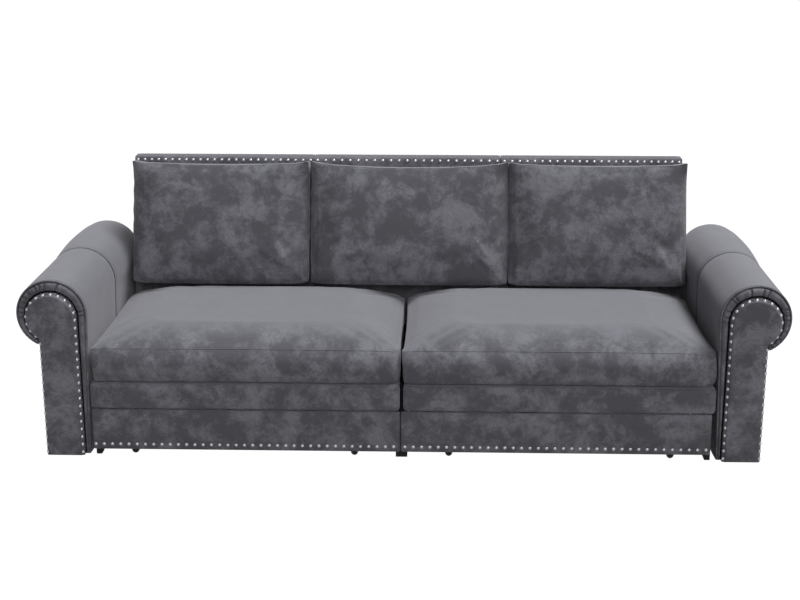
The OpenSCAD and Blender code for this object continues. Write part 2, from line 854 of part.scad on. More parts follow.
module front_nails(side) {
    shift = side == LEFT ? -left_row_shift : 0;
    span = front_w - 2 * front_nail_margin;
    color(nickel) for (i = [0 : front_nails_n - 1]) {
        x = front_x(side) + shift + span * (i / (front_nails_n - 1) - 0.5);
        translate([x, front_y, front_z + front_nail_z]) rotate([90, 0, 0]) nail();
    }
}

// Places of a section's four wheels: front outer, front inner, rear outer, rear inner
function wheel_place(i) = [
    i % 2 == 0 ? wheel_out_x : wheel_in_x,
    i < 2 ? wheel_front_y : wheel_rear_y,
    wheel_r
];

// Roller with a round tread, turning on an axle along X
module wheel(side, i) {
    color(black) on_side(side) translate(wheel_place(i - 1)) rotate([0, 90, 0])
        rotate_extrude() intersection() {
            translate([wheel_r - tread_r, 0]) circle(tread_r);
            translate([axle_r + axle_clear, -wheel_w / 2]) square([wheel_r, wheel_w]);
        }
}

// Steel fork under the section's rail, with its axle riveted in
module wheel_fork() {
    cheek_x = wheel_w / 2 + fork_gap;
    cheek_r = 2 * axle_r;
    plate_z = rail_z - wheel_r;
    axle_half = cheek_x + fork_t + axle_end;
    plate_half = [wheel_w / 2 + fork_plate_margin, rail_w / 2 - fork_plate_inset];
    block([-plate_half.x, -plate_half.y, plate_z - fork_t], [plate_half.x, plate_half.y, plate_z]);
    for (x = [-cheek_x - fork_t, cheek_x]) side_slab(x, x + fork_t) {
        translate([-cheek_r, 0]) square([2 * cheek_r, plate_z - fork_t / 2]);
        circle(cheek_r);
    }
    translate([-axle_half, 0, 0]) rotate([0, 90, 0])
        cylinder(h = 2 * axle_half, r = axle_r, $fn = 32);
}

module wheel_forks(side) {
    color(steel) on_side(side) for (i = [0 : 3]) translate(wheel_place(i)) wheel_fork();
}

// CUSHIONS

// A cushion is built from closed rings of points. Each ring is [inset, size, depth, part]:
// inset draws the outline in, size is the ring's share of it, depth runs from 0 at the
// flat side to 1 at the edge seam, and part is 0 below the seam and 1 on the crown.
side_n = 14;
ring_n = 4 * side_n;
cushion_rings = concat(
    [[cush_edge_in, 1, 0, 0], [cush_edge_in / 3, 1, 0.1, 0], [-cush_bulge, 1, 0.35, 0],
     [-cush_bulge, 1, 0.65, 0], [0, 1, 1, 0]],
    [for (size = [0.965, 0.9, 0.8, 0.66, 0.48, 0.26]) [0, size, 1, 1]]
);

// Point k of a square outline from -1 to 1, with its corners kept
function edge_point(k) =
    let (side = floor(k / side_n), t = 2 * (k % side_n) / side_n - 1)
    side == 0 ? [t, -1] : side == 1 ? [1, t] : side == 2 ? [-t, 1] : [-1, -t];

function crown(u, v) = (1 - pow(abs(u), 2.6)) * (1 - pow(abs(v), 2.6));

// Sides draw in by draw_in between the corners: half is half the cushion's size
function drawn(u, v, half) = u * (half - draw_in * (1 - v * v));

// One ring point as [x, y, depth, rise of the crown]
function ring_point(ring, k, half) =
    let (e = edge_point(k), u = e.x * ring[1], v = e.y * ring[1])
    [drawn(u, v, half.x - ring[0]), drawn(v, u, half.y - ring[0]), ring[2], ring[3] * crown(u, v)];

function cushion_cloud(half) = concat(
    [for (ring = cushion_rings) for (k = [0 : ring_n - 1]) ring_point(ring, k, half)],
    [[0, 0, 0, 0], [0, 0, 1, 1]]
);

// Triangles between the rings, and fans that close the two sides
function cushion_faces() =
    let (rings = len(cushion_rings), low = rings * ring_n, high = low + 1, top = (rings - 1) * ring_n)
    concat(
        [for (r = [0 : rings - 2]) for (k = [0 : ring_n - 1])
            [r * ring_n + k, (r + 1) * ring_n + k, r * ring_n + (k + 1) % ring_n]],
        [for (r = [0 : rings - 2]) for (k = [0 : ring_n - 1])
            [(r + 1) * ring_n + k, (r + 1) * ring_n + (k + 1) % ring_n, r * ring_n + (k + 1) % ring_n]],
        [for (k = [0 : ring_n - 1]) [low, k, (k + 1) % ring_n]],
        [for (k = [0 : ring_n - 1]) [high, top + (k + 1) % ring_n, top + k]]
    );

module seat_cushion(side) {
    half = [(seat_out_x - seat_mid_gap / 2) / 2, seat_d / 2];
    middle = [side * (seat_out_x + seat_mid_gap / 2) / 2, seat_y0 + seat_d / 2];
    color(velvet) polyhedron(
        [for (p = cushion_cloud(half))
            [middle.x + p[0], middle.y + p[1], seat_z + seat_edge_h * p[2] + seat_crown * p[3]]],
        cushion_faces());
}

// Back cushions lean on the back; their flat side follows the back's face
module back_cushion(seg) {
    outer_w = cush_out_x - cush_mid_w / 2 - cush_gap;
    width = seg == MIDDLE ? cush_mid_w : outer_w;
    middle_x = seg * (cush_out_x - outer_w / 2);
    half = [width / 2, cush_h / 2];
    middle_z = cush_z + cush_h / 2;
    lean_gap = soft_gap / cos(back_lean);
    color(velvet) polyhedron(
        [for (p = cushion_cloud(half))
            let (z = middle_z + p[1],
                 t = (z - cush_z) / cush_h,
                 thick = cush_bottom_t + (cush_top_t - cush_bottom_t) * t)
            [middle_x + p[0], face_y(z) - lean_gap - thick * p[2] - cush_crown * p[3],
             z + cush_top_rise * t * p[2]]],
        cushion_faces());
}

arm_frame(LEFT);  // arm_frame_left
arm_frame(RIGHT);  // arm_frame_right
arm_front(LEFT);  // arm_front_left
arm_front(RIGHT);  // arm_front_right
arm_rear(LEFT);  // arm_rear_left
arm_rear(RIGHT);  // arm_rear_right
arm_panel(LEFT);  // arm_panel_left
arm_panel(RIGHT);  // arm_panel_right
arm_border(LEFT);  // arm_border_left
arm_border(RIGHT);  // arm_border_right
arm_piping(LEFT);  // arm_piping_left
arm_piping(RIGHT);  // arm_piping_right
arm_nails(LEFT);  // arm_nails_left
arm_nails(RIGHT);  // arm_nails_right
glides();
back_frame(LEFT);  // back_frame_left
back_frame(MIDDLE);  // back_frame_middle
back_frame(RIGHT);  // back_frame_right
back_pad(LEFT);  // back_pad_left
back_pad(MIDDLE);  // back_pad_middle
back_pad(RIGHT);  // back_pad_right
back_covers();
back_nails();
rear_rail();
centre_beam();
centre_legs();
outer_legs();
guides();
frame_bolts();
deck_frame(LEFT);  // deck_frame_left
deck_frame(RIGHT);  // deck_frame_right
deck_slats(LEFT);  // deck_slats_left
deck_slats(RIGHT);  // deck_slats_right
deck_pad(LEFT);  // deck_pad_left
deck_pad(RIGHT);  // deck_pad_right
section_front(LEFT);  // section_front_left
section_front(RIGHT);  // section_front_right
section_frame(LEFT);  // section_frame_left
section_frame(RIGHT);  // section_frame_right
section_slats(LEFT);  // section_slats_left
section_slats(RIGHT);  // section_slats_right
mattress(LEFT);  // mattress_left
mattress(RIGHT);  // mattress_right
front_nails(LEFT);  // front_nails_left
front_nails(RIGHT);  // front_nails_right
wheel_forks(LEFT);  // wheel_forks_left
wheel_forks(RIGHT);  // wheel_forks_right
wheel(LEFT, 1);  // wheel_left_1
wheel(LEFT, 2);  // wheel_left_2
wheel(LEFT, 3);  // wheel_left_3
wheel(LEFT, 4);  // wheel_left_4
wheel(RIGHT, 1);  // wheel_right_1
wheel(RIGHT, 2);  // wheel_right_2
wheel(RIGHT, 3);  // wheel_right_3
wheel(RIGHT, 4);  // wheel_right_4
seat_cushion(LEFT);  // seat_cushion_left
seat_cushion(RIGHT);  // seat_cushion_right
back_cushion(LEFT);  // back_cushion_left
back_cushion(MIDDLE);  // back_cushion_middle
back_cushion(RIGHT);  // back_cushion_right
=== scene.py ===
import json
import math

import bpy
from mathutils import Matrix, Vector, noise
from mathutils.bvhtree import BVHTree
from mathutils.kdtree import KDTree


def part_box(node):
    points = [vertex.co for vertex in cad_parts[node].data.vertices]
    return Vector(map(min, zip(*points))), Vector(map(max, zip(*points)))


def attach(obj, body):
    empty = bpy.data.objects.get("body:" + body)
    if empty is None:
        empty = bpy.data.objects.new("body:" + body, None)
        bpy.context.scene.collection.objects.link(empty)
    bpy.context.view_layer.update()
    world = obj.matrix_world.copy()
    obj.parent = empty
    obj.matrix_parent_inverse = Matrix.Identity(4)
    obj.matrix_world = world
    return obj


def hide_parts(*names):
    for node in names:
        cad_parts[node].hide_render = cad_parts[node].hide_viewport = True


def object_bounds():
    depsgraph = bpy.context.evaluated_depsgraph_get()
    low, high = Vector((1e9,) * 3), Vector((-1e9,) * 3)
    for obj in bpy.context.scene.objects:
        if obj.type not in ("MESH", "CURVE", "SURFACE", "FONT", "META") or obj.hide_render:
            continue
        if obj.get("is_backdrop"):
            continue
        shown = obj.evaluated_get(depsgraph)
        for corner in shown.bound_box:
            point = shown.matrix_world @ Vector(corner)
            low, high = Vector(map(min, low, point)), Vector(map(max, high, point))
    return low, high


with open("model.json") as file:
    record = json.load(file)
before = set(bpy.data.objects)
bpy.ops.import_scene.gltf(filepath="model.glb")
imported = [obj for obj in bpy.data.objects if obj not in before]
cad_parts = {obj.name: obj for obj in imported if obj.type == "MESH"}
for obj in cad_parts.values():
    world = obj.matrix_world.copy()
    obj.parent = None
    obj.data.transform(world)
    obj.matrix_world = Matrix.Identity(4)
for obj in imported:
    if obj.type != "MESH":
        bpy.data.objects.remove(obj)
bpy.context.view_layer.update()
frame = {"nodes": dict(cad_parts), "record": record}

scene = bpy.context.scene

# STUDIO
# A plain floor that runs to the horizon, a soft lamp high on the right, a wider one in front
# and a weak one behind, all so far off that the light is even along the sofa.
scene.view_settings.view_transform = "Standard"

EYE = (0.124, -5.059, 1.923)
TILT_DOWN = 16.33
TURN = 1.60
LENS_MM = 64.485
bpy.ops.object.camera_add(
    location=EYE, rotation=(math.radians(90 - TILT_DOWN), 0, math.radians(TURN)))
camera = bpy.context.object
camera.name = "camera"
camera.data.lens = LENS_MM
camera.data.sensor_width = 36
scene.camera = camera


def colour(hex_text):
    """An sRGB hex colour as the linear values that a socket holds."""
    shares = [int(hex_text[i:i + 2], 16) / 255 for i in (1, 3, 5)]
    return [s / 12.92 if s <= 0.04045 else ((s + 0.055) / 1.055) ** 2.4 for s in shares] + [1.0]


def add_node(tree, kind, inputs=None, **settings):
    """Adds a node with its settings; an input is given a value or linked to an output."""
    made = tree.nodes.new(kind)
    for name, value in settings.items():
        setattr(made, name, value)
    for name, value in (inputs or {}).items():
        if isinstance(value, bpy.types.NodeSocket):
            tree.links.new(value, made.inputs[name])
        else:
            made.inputs[name].default_value = value
    return made


def seen_directly(tree):
    """1 for rays from the camera and for what shows in metal, 0 for light on the object."""
    path = add_node(tree, "ShaderNodeLightPath").outputs
    mirrored = add_node(tree, "ShaderNodeMath", {
        0: path["Is Glossy Ray"], 1: path["Is Transmission Ray"]}, operation="MAXIMUM")
    return add_node(tree, "ShaderNodeMath", {0: path["Is Camera Ray"], 1: mirrored.outputs[0]},
                    operation="MAXIMUM").outputs[0]


AMBIENT = 0.10
scene.world = bpy.data.worlds.new("white_studio")
scene.world.use_nodes = True
sky = scene.world.node_tree
sky.nodes.clear()
level = add_node(sky, "ShaderNodeMapRange", {
    "Value": seen_directly(sky), "To Min": AMBIENT, "To Max": 1.0})
backdrop = add_node(sky, "ShaderNodeBackground",
                    {"Color": (1, 1, 1, 1), "Strength": level.outputs["Result"]})
add_node(sky, "ShaderNodeOutputWorld", {"Surface": backdrop.outputs[0]})

# The floor is matt grey paint; the part that the camera sees as light makes it white
FLOOR_HALF = 40
FLOOR_GLOW = 0.90
GLOW_LEVEL = 1.13
bpy.ops.mesh.primitive_plane_add(size=2 * FLOOR_HALF)
floor = bpy.context.object
floor.name = "floor"
floor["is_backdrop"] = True
paint = bpy.data.materials.new("matt_floor_paint")
paint.use_nodes = True
paint.node_tree.nodes.clear()
matt = add_node(paint.node_tree, "ShaderNodeBsdfDiffuse", {"Color": colour("#8c8c8c")})
glow = add_node(paint.node_tree, "ShaderNodeEmission", {
    "Color": (1, 1, 1, 1), "Strength": GLOW_LEVEL})
share = add_node(paint.node_tree, "ShaderNodeMath",
                 {0: seen_directly(paint.node_tree), 1: FLOOR_GLOW}, operation="MULTIPLY")
both = add_node(paint.node_tree, "ShaderNodeMixShader",
                {0: share.outputs[0], 1: matt.outputs[0], 2: glow.outputs[0]})
add_node(paint.node_tree, "ShaderNodeOutputMaterial", {"Surface": both.outputs[0]})
floor.data.materials.append(paint)


LAMP_REACH = 6


def far_lamp(name, towards, level, spread):
    """A distant lamp; at level 1 it alone shows a colour that faces it as it is written."""
    place = LAMP_REACH * Vector(towards)
    bpy.ops.object.light_add(
        type="SUN", location=place, rotation=place.to_track_quat("Z", "Y").to_euler())
    lamp = bpy.context.object
    lamp.name = name
    lamp.data.energy = math.pi * level
    lamp.data.angle = math.radians(spread)


far_lamp("key_right", (0.34, 0.15, 0.93), 1.10, 25)
far_lamp("front", (0.20, -0.85, 0.49), 0.42, 40)
far_lamp("rear", (0.10, 0.90, 0.42), 0.20, 40)

# VELVET
# Polyester crushed velvet: a short dense pile that is pressed flat in patches, so it shows
# clouds of lighter and darker nap where it faces the room, and an even sheen on the curves.
# Where it faces up or sideways its colour is instead an even level of painted light and shade.
PATCH_SCALE = 1 / 0.11
PATCH_EDGES = (0.42, 0.62)
STROKE_L, STROKE_W = 0.030, 0.0045
STROKE_TURNS = (62, -35, 8)
FIBRE_SCALE = 1 / 0.0022  # the real pile is finer; this is as coarse as it needs to show


def crushed_velvet(name, low, high, side, top):
    """Velvet between two colours of nap, patchy where it faces the front or the rear. On its
    sides and on top the colour is painted light and shade: an even level, at the given shares
    of the way from low to high, so tops are painted lighter or darker than sides."""
    made = bpy.data.materials.new(name)
    made.use_nodes = True
    tree = made.node_tree
    tree.nodes.clear()
    at = add_node(tree, "ShaderNodeTexCoord").outputs

    def grain(place, scale, detail, roughness, distortion=0.0):
        return add_node(tree, "ShaderNodeTexNoise", {
            "Vector": place, "Scale": scale, "Detail": detail, "Roughness": roughness,
            "Distortion": distortion}).outputs["Fac"]

    def ramp(value, start, end, low_to=0.0, high_to=1.0):
        return add_node(tree, "ShaderNodeMapRange", {
            "Value": value, "From Min": start, "From Max": end,
            "To Min": low_to, "To Max": high_to},
            interpolation_type="SMOOTHSTEP").outputs["Result"]

    def times(a, b):
        return add_node(tree, "ShaderNodeMath", {0: a, 1: b}, operation="MULTIPLY").outputs[0]

    def strokes(turn):
        """Short brush marks, all lying one way on the front of the sofa."""
        placed = add_node(tree, "ShaderNodeMapping", {
            "Vector": at["Object"], "Rotation": (0, math.radians(turn), 0),
            "Scale": (STROKE_L, STROKE_L, STROKE_W)}, vector_type="TEXTURE").outputs[0]
        return ramp(grain(placed, 1.0, 2.0, 0.55, 0.4), 0.38, 0.62)

    def pick(share, a, b):
        return add_node(tree, "ShaderNodeMixRGB", {
            "Fac": share, "Color1": a, "Color2": b}).outputs["Color"]

    patches = ramp(grain(at["Object"], PATCH_SCALE, 11.0, 0.74, 0.2), *PATCH_EDGES)
    which_way = grain(at["Object"], PATCH_SCALE * 2.2, 1.0, 0.5)
    rising, falling, level = [strokes(turn) for turn in STROKE_TURNS]
    brushed = pick(ramp(which_way, 0.44, 0.48), rising, falling)
    brushed = pick(ramp(which_way, 0.53, 0.57), brushed, level)
    nap = times(patches, ramp(brushed, 0.0, 1.0, 0.68, 1.0))
    facing = add_node(tree, "ShaderNodeSeparateXYZ", {0: at["Normal"]}).outputs
    # painted light and shade: off the front and rear, the colour's level follows how far the
    # surface faces up
    even = ramp(facing["Z"], 0.72, 1.0, side, top)
    upright = add_node(tree, "ShaderNodeMath", {0: facing["Y"]}, operation="ABSOLUTE").outputs[0]
    shown = add_node(tree, "ShaderNodeMix", {
        "Factor": ramp(upright, 0.15, 0.75, 0.1, 1.0), "A": even, "B": nap}).outputs["Result"]
    shade = pick(shown, colour(low), colour(high))
    pile = grain(at["Object"], FIBRE_SCALE, 2.0, 0.5)
    bump = add_node(tree, "ShaderNodeBump", {"Height": pile, "Strength": 0.3, "Distance": 0.0006})
    cloth = add_node(tree, "ShaderNodeBsdfPrincipled", {
        "Base Color": shade, "Roughness": 0.9, "Specular IOR Level": 0.15,
        "Sheen Weight": 0.3, "Sheen Roughness": 0.45, "Sheen Tint": colour("#dcdce0"),
        "Normal": bump.outputs["Normal"]})
    add_node(tree, "ShaderNodeOutputMaterial", {"Surface": cloth.outputs[0]})
    return made


# Painted light and shade: the sofa's velvet is painted lighter on top than on its sides, the back
# segments' velvet painted darker on top
VELVET = crushed_velvet("crushed_velvet", "#54545a", "#7a7a81", 0.5, 0.72)
BACK_VELVET = crushed_velvet("crushed_velvet_back", "#54545a", "#7a7a81", 0.2, 0.0)

# ARM SLEEVES
# Two padded velvet sleeves on each arm: foam round the timber roll and board, covered by a
# front and a rear panel that meet in a piped seam half way along the arm.
SIDES = {"left": -1, "right": 1}
box_low, box_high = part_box("arm_front_right")
ROLL_R = 0.120
roll_x = box_high.x - ROLL_R
roll_z = box_high.z - ROLL_R
LEAN = math.radians(1.7)
POST_OUT_X = 1.235
foot_z = box_low.z
sleeve_y, seam_y = box_low.y, box_high.y
arm_end_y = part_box("arm_rear_right")[1].y
FOOT_STEPS, ROLL_STEPS, POST_STEPS, SOLE_STEPS = 36, 84, 24, 6


def line(a, b, steps):
    """Evenly spaced points from a up to, but not with, b."""
    return [a.lerp(b, i / steps) for i in range(steps)]


def arc(centre, radius, start, end, steps):
    """Points round a circle in the XZ plane, from start up to, but not with, end."""
    angles = [start + (end - start) * i / steps for i in range(steps)]
    return [centre + radius * Vector((math.cos(a), math.sin(a))) for a in angles]


def arm_section(inset):
    """The right arm's outline, seen from the front: inner foot, over the roll, outer foot."""
    radius = ROLL_R - inset
    centre = Vector((roll_x, roll_z))
    lean_start = centre - radius * Vector((math.cos(LEAN), math.sin(LEAN)))
    inner_foot = Vector((lean_start.x + (lean_start.y - foot_z) * math.tan(LEAN), foot_z))
    tip = -math.acos((POST_OUT_X - inset - roll_x) / radius)
    neck = centre + radius * Vector((math.cos(tip), math.sin(tip)))
    outer_foot = Vector((neck.x, foot_z))
    return (line(inner_foot, lean_start, FOOT_STEPS)
            + arc(centre, radius, math.pi + LEAN, tip, ROLL_STEPS)
            + line(neck, outer_foot, POST_STEPS) + line(outer_foot, inner_foot, SOLE_STEPS))


def deselect_all():
    bpy.ops.object.select_all(action="DESELECT")


def wrapped(name, columns, rows, place, caps=True):
    """A grid laid round a shape: place(i, j) gives the point of column i and row j."""
    deselect_all()
    bpy.ops.mesh.primitive_grid_add(x_subdivisions=columns, y_subdivisions=rows, size=1)
    made = bpy.context.object
    made.name = made.data.name = name
    for v in made.data.vertices:
        v.co = place(round((v.co.x + 0.5) * columns), round((v.co.y + 0.5) * rows))
    bpy.ops.object.mode_set(mode="EDIT")
    bpy.ops.mesh.select_all(action="SELECT")
    bpy.ops.mesh.remove_doubles(threshold=0.00002)
    if caps:
        bpy.ops.mesh.select_all(action="DESELECT")
        bpy.ops.mesh.select_mode(type="EDGE")
        bpy.ops.mesh.select_non_manifold()
        bpy.ops.mesh.edge_face_add()
        bpy.ops.mesh.select_all(action="SELECT")
    bpy.ops.mesh.normals_make_consistent(inside=False)
    bpy.ops.object.mode_set(mode="OBJECT")
    return made


def dress(piece, body, slot, material, *nodes):
    """Gives a finished piece its material and body, and hides the nodes that it stands for; its
    record slot is not used.
    """
    deselect_all()
    piece.select_set(True)
    bpy.context.view_layer.objects.active = piece
    bpy.ops.object.shade_smooth_by_angle(angle=math.radians(50))
    piece.data.materials.clear()
    piece.data.materials.append(material)
    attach(piece, body)
    if nodes:
        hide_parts(*nodes)
    return piece


def between(stations, at):
    """Smooth value at a place, from a list of (place, value) stations."""
    for (a, low), (b, high) in zip(stations, stations[1:]):
        if at <= b:
            t = (at - a) / (b - a)
            return low + (high - low) * t * t * (3 - 2 * t)
    return stations[-1][1]


# How far the cloth lies inside the roll at distances along each sleeve
FRONT_SLEEVE = [(0, 0.0050), (0.010, 0.0006), (0.06, -0.0005), (0.25, -0.0005), (0.40, -0.0012),
                (0.434, -0.0006), (0.4380, 0.0010), (0.441, 0.0120)]
REAR_SLEEVE = [(0, 0.0130), (0.0035, 0.0018), (0.03, 0.0), (0.22, -0.0030), (0.37, -0.0020),
               (0.424, 0.0)]
REAR_SWELL = 0.009
SHOULDER_X, SHOULDER_Z = 0.77, 0.64
REAR_EDGE_R = 0.010
SLEEVE_ROWS = 110
END_CROWDING = 0.12
SLEEVE_LOFT = 0.0006
FLAT_FOOT = 0.01


def sleeve(name, side, y0, y1, stations, round_end):
    """A sleeve from y0 to y1; the rear one is stuffed fuller on the roll's two shoulders."""
    length = y1 - y0
    rows = []
    for j in range(SLEEVE_ROWS + 1):
        t = j / SLEEVE_ROWS
        along = length * (t - END_CROWDING * math.sin(2 * math.pi * t) / math.pi)
        inset = between(stations, along)
        if round_end and along > length - REAR_EDGE_R:
            over = along - (length - REAR_EDGE_R)
            inset += REAR_EDGE_R - math.sqrt(max(REAR_EDGE_R ** 2 - over ** 2, 0))
        rows.append((y0 + along, arm_section(inset)))
    count = len(rows[0][1])
    centre = Vector((roll_x, 0, roll_z))

    def place(i, j):
        y, outline = rows[j]
        x, z = outline[i % count]
        point = Vector((x, y, z))
        if i % count < count - SOLE_STEPS and z > foot_z + FLAT_FOOT:
            lift = noise.noise(Vector((x * 6, y * 5, z * 6 + side)))
            away = Vector((point.x - centre.x, 0, point.z - centre.z)).normalized()
            point += away * SLEEVE_LOFT * lift
            if round_end:
                shoulder = max(0, abs(away.x) * SHOULDER_X + away.z * SHOULDER_Z) ** 2
                shoulder *= away.z > -0.2
                point += away * REAR_SWELL * shoulder * math.sin(math.pi * j / SLEEVE_ROWS) ** 0.6
        return Vector((side * point.x, point.y, point.z))

    return wrapped(name, count, SLEEVE_ROWS, place)


for word, side in SIDES.items():
    front = sleeve(f"sleeve_front_{word}", side, sleeve_y, seam_y, FRONT_SLEEVE, False)
    dress(front, "frame", "velvet", VELVET, f"arm_front_{word}")
    rear = sleeve(f"sleeve_rear_{word}", side, seam_y, arm_end_y, REAR_SLEEVE, True)
    dress(rear, "frame", "velvet", VELVET, f"arm_rear_{word}")

# FRONT PANELS OF THE ARMS
# A keyhole-shaped board under thin foam and velvet, tacked on proud of each arm's end. Its
# edge slants; the nails pull the velvet down into that slant, and the foam swells inside them.
panel_low, panel_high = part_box("arm_panel_right")
PANEL_R = 0.089
PANEL_POST_W = 0.134
SOLE_TUCK = 0.002
panel_x, panel_z = panel_low.x + PANEL_R, panel_high.z - PANEL_R
panel_back_y = panel_high.y
PANEL_OUT_X = panel_low.x + PANEL_POST_W
# The panel's section from the arm outwards, as (how far it stands out, how far it draws in)
PANEL_PROFILE = [(0, 0.0020), (0.0125, 0.0020), (0.0148, 0.0023), (0.0161, 0.0032),
                 (0.0176, 0.0046), (0.0194, 0.0065), (0.0206, 0.0079), (0.0230, 0.0087),
                 (0.0250, 0.0097), (0.0262, 0.0120), (0.0269, 0.0165), (0.0274, 0.028),
                 (0.0276, 0.043)]
PANEL_FOOT_STEPS, HEAD_STEPS, NECK_STEPS = 30, 72, 26


def panel_section(inset):
    """The panel's keyhole outline, drawn in by inset."""
    radius = PANEL_R - inset
    centre = Vector((panel_x, panel_z))
    sole = foot_z - SOLE_TUCK + 0.4 * inset
    inner_foot = Vector((panel_low.x + inset, sole))
    outer_foot = Vector((PANEL_OUT_X - inset, sole))
    neck_angle = -math.acos((outer_foot.x - panel_x) / radius)
    neck = centre + radius * Vector((math.cos(neck_angle), math.sin(neck_angle)))
    return (line(inner_foot, Vector((inner_foot.x, panel_z)), PANEL_FOOT_STEPS)
            + arc(centre, radius, math.pi, neck_angle, HEAD_STEPS)
            + line(neck, outer_foot, NECK_STEPS) + line(outer_foot, inner_foot, SOLE_STEPS))


for word, side in SIDES.items():
    outlines = [panel_section(inset) for _, inset in PANEL_PROFILE]

    def place(i, j):
        x, z = outlines[j][i % len(outlines[j])]
        return Vector((side * x, panel_back_y - PANEL_PROFILE[j][0], z))

    panel = wrapped(f"panel_{word}", len(outlines[0]), len(PANEL_PROFILE) - 1, place)
    dress(panel, "frame", "velvet", VELVET, f"arm_panel_{word}")

# ARM FACINGS
# Black spun dust cloth stapled flat over the front of each arm, under the panel and its
# border; only the gaps round the panel show it. Its near-black is partly the cloth's own
# colour and partly painted shade, so those gaps show dark.
SHADE_DUST_CLOTH = bpy.data.materials.new("black_dust_cloth_painted_shade")
SHADE_DUST_CLOTH.use_nodes = True
web = SHADE_DUST_CLOTH.node_tree
web.nodes.clear()
WEB_SCALE = 700.0  # clumps of fibre about 1.4 mm wide
fuzz = add_node(web, "ShaderNodeTexNoise", {
    "Vector": add_node(web, "ShaderNodeTexCoord").outputs["Object"], "Scale": WEB_SCALE})
tint = add_node(web, "ShaderNodeMixRGB", {
    "Fac": fuzz.outputs["Fac"], "Color1": colour("#0e0e0f"), "Color2": colour("#19191b")})
felt = add_node(web, "ShaderNodeBsdfPrincipled", {
    "Base Color": tint.outputs["Color"], "Roughness": 0.95, "Specular IOR Level": 0.1})
add_node(web, "ShaderNodeOutputMaterial", {"Surface": felt.outputs[0]})
FACING_INSET, FACING_T = 0.0055, 0.0008

for word, side in SIDES.items():
    outline = arm_section(FACING_INSET)

    def place(i, j):
        x, z = outline[i % len(outline)]
        return Vector((side * x, sleeve_y - FACING_T * j, z))

    facing = wrapped(f"arm_facing_{word}", len(outline), 1, place)
    # the facing's near-black stands partly as painted shade in the gaps
    dress(facing, "frame", "velvet", SHADE_DUST_CLOTH)

# PLEATED BORDERS
# A strip of velvet over wadding that fills the space between the panel and the piping. It
# is gathered in small pleats round the roll and runs plain down the arm's inner edge.
WELT_R = 0.0033
BORDER_LOFT = 0.0130
GROOVE = 0.0042
ACROSS = 16
FOOT_ROWS, ARC_ROWS, TAIL_ROWS = 90, 480, 10
PIPING_GAP = 0.0012
FOOT_RISE = 0.018
TAIL_TURN, TAIL_DROP = 5, 0.016
TUCK = 0.004
PLEAT_DEPTH, PLEAT_FLOOR = 0.90, 0.15
STEEP_SIDE, SHALLOW_SIDE = 1.0, 2.8
RIDGE, RIDGE_AT, RIDGE_W = 0.12, 6, 3
# Where the pleats lie round the roll, in degrees
PLEATS = {
    "right": [180, 169, 156, 137, 129, 102, 82, 71, 26, 15, 4, -18, -34, -47, -57],
    "left": [177, 167, 103, 83, 72, 64, 52, 38, 29, 20, 9, -2],
}
neck_angle = -math.degrees(math.acos((PANEL_OUT_X - panel_x) / PANEL_R))


def roll_hit(angle):
    """Where a ray from the panel's centre meets the inner side of the piping."""
    ray = Vector((math.cos(angle), math.sin(angle)))
    offset = Vector((panel_x - roll_x, panel_z - roll_z))
    along = offset.dot(ray)
    radius = ROLL_R - 2 * WELT_R - PIPING_GAP
    reach = -along + math.sqrt(along ** 2 - offset.length_squared + radius ** 2)
    return Vector((panel_x, panel_z)) + reach * ray


def border_rows():
    """Rows across the strip: (inner end, outer end, loft, degrees round the roll, gathered)."""
    rows = []
    head = Vector((panel_x, panel_z))
    for j in range(FOOT_ROWS):
        z = foot_z + (panel_z - foot_z) * j / FOOT_ROWS
        outer_x = roll_x - (ROLL_R - 2 * WELT_R) / math.cos(LEAN) + (roll_z - z) * math.tan(LEAN)
        rise = min((z - foot_z) / FOOT_RISE, 1)
        loft = BORDER_LOFT * math.sqrt(1 - (1 - rise) ** 2)
        wave = 1 + 0.05 * noise.noise(Vector((z * 22, 3.1, 0)))
        rows.append((Vector((panel_low.x - GROOVE, z)), Vector((outer_x, z)), loft * wave, 0, 0))
    for j in range(ARC_ROWS + 1):
        degrees = 180 + (neck_angle - 180) * j / ARC_ROWS
        angle = math.radians(degrees)
        inner = head + (PANEL_R + GROOVE) * Vector((math.cos(angle), math.sin(angle)))
        rows.append((inner, roll_hit(angle), BORDER_LOFT, degrees, 1))
    tip = rows[-1]
    for j in range(1, TAIL_ROWS + 1):
        t = j / TAIL_ROWS
        angle = math.radians(neck_angle - TAIL_TURN * t)
        outer = Vector((roll_x, roll_z)) + (ROLL_R - 2 * WELT_R) * Vector(
            (math.cos(angle - 0.05), math.sin(angle - 0.05)))
        inner = tip[0] - Vector((0, TAIL_DROP * t))
        loft = BORDER_LOFT * math.sqrt(1 - t * t)
        rows.append((inner, tip[1].lerp(outer, t), loft, neck_angle, 0))
    return rows


def pleat_height(word, degrees, across):
    """Height of the gathered cloth as a share of its loft: a steep and a shallow side."""
    height = 1.0
    for k, pleat in enumerate(PLEATS[word]):
        slant = 3.0 * math.sin(7 * k) * (across - 0.5)
        off = (degrees - pleat - slant) * (1 if k % 3 else -1)
        reach = 0.62 + 0.38 * math.sin(5 * k + 1) ** 2
        depth = PLEAT_DEPTH * max(0.0, 1 - max(0.0, across - reach) / 0.35)
        if off < 0:
            height -= depth * math.exp(-(off / STEEP_SIDE) ** 2)
        else:
            height -= (depth * math.exp(-(off / SHALLOW_SIDE) ** 1.5)
                       - RIDGE * math.exp(-((off - RIDGE_AT) / RIDGE_W) ** 2))
    return max(height, PLEAT_FLOOR)


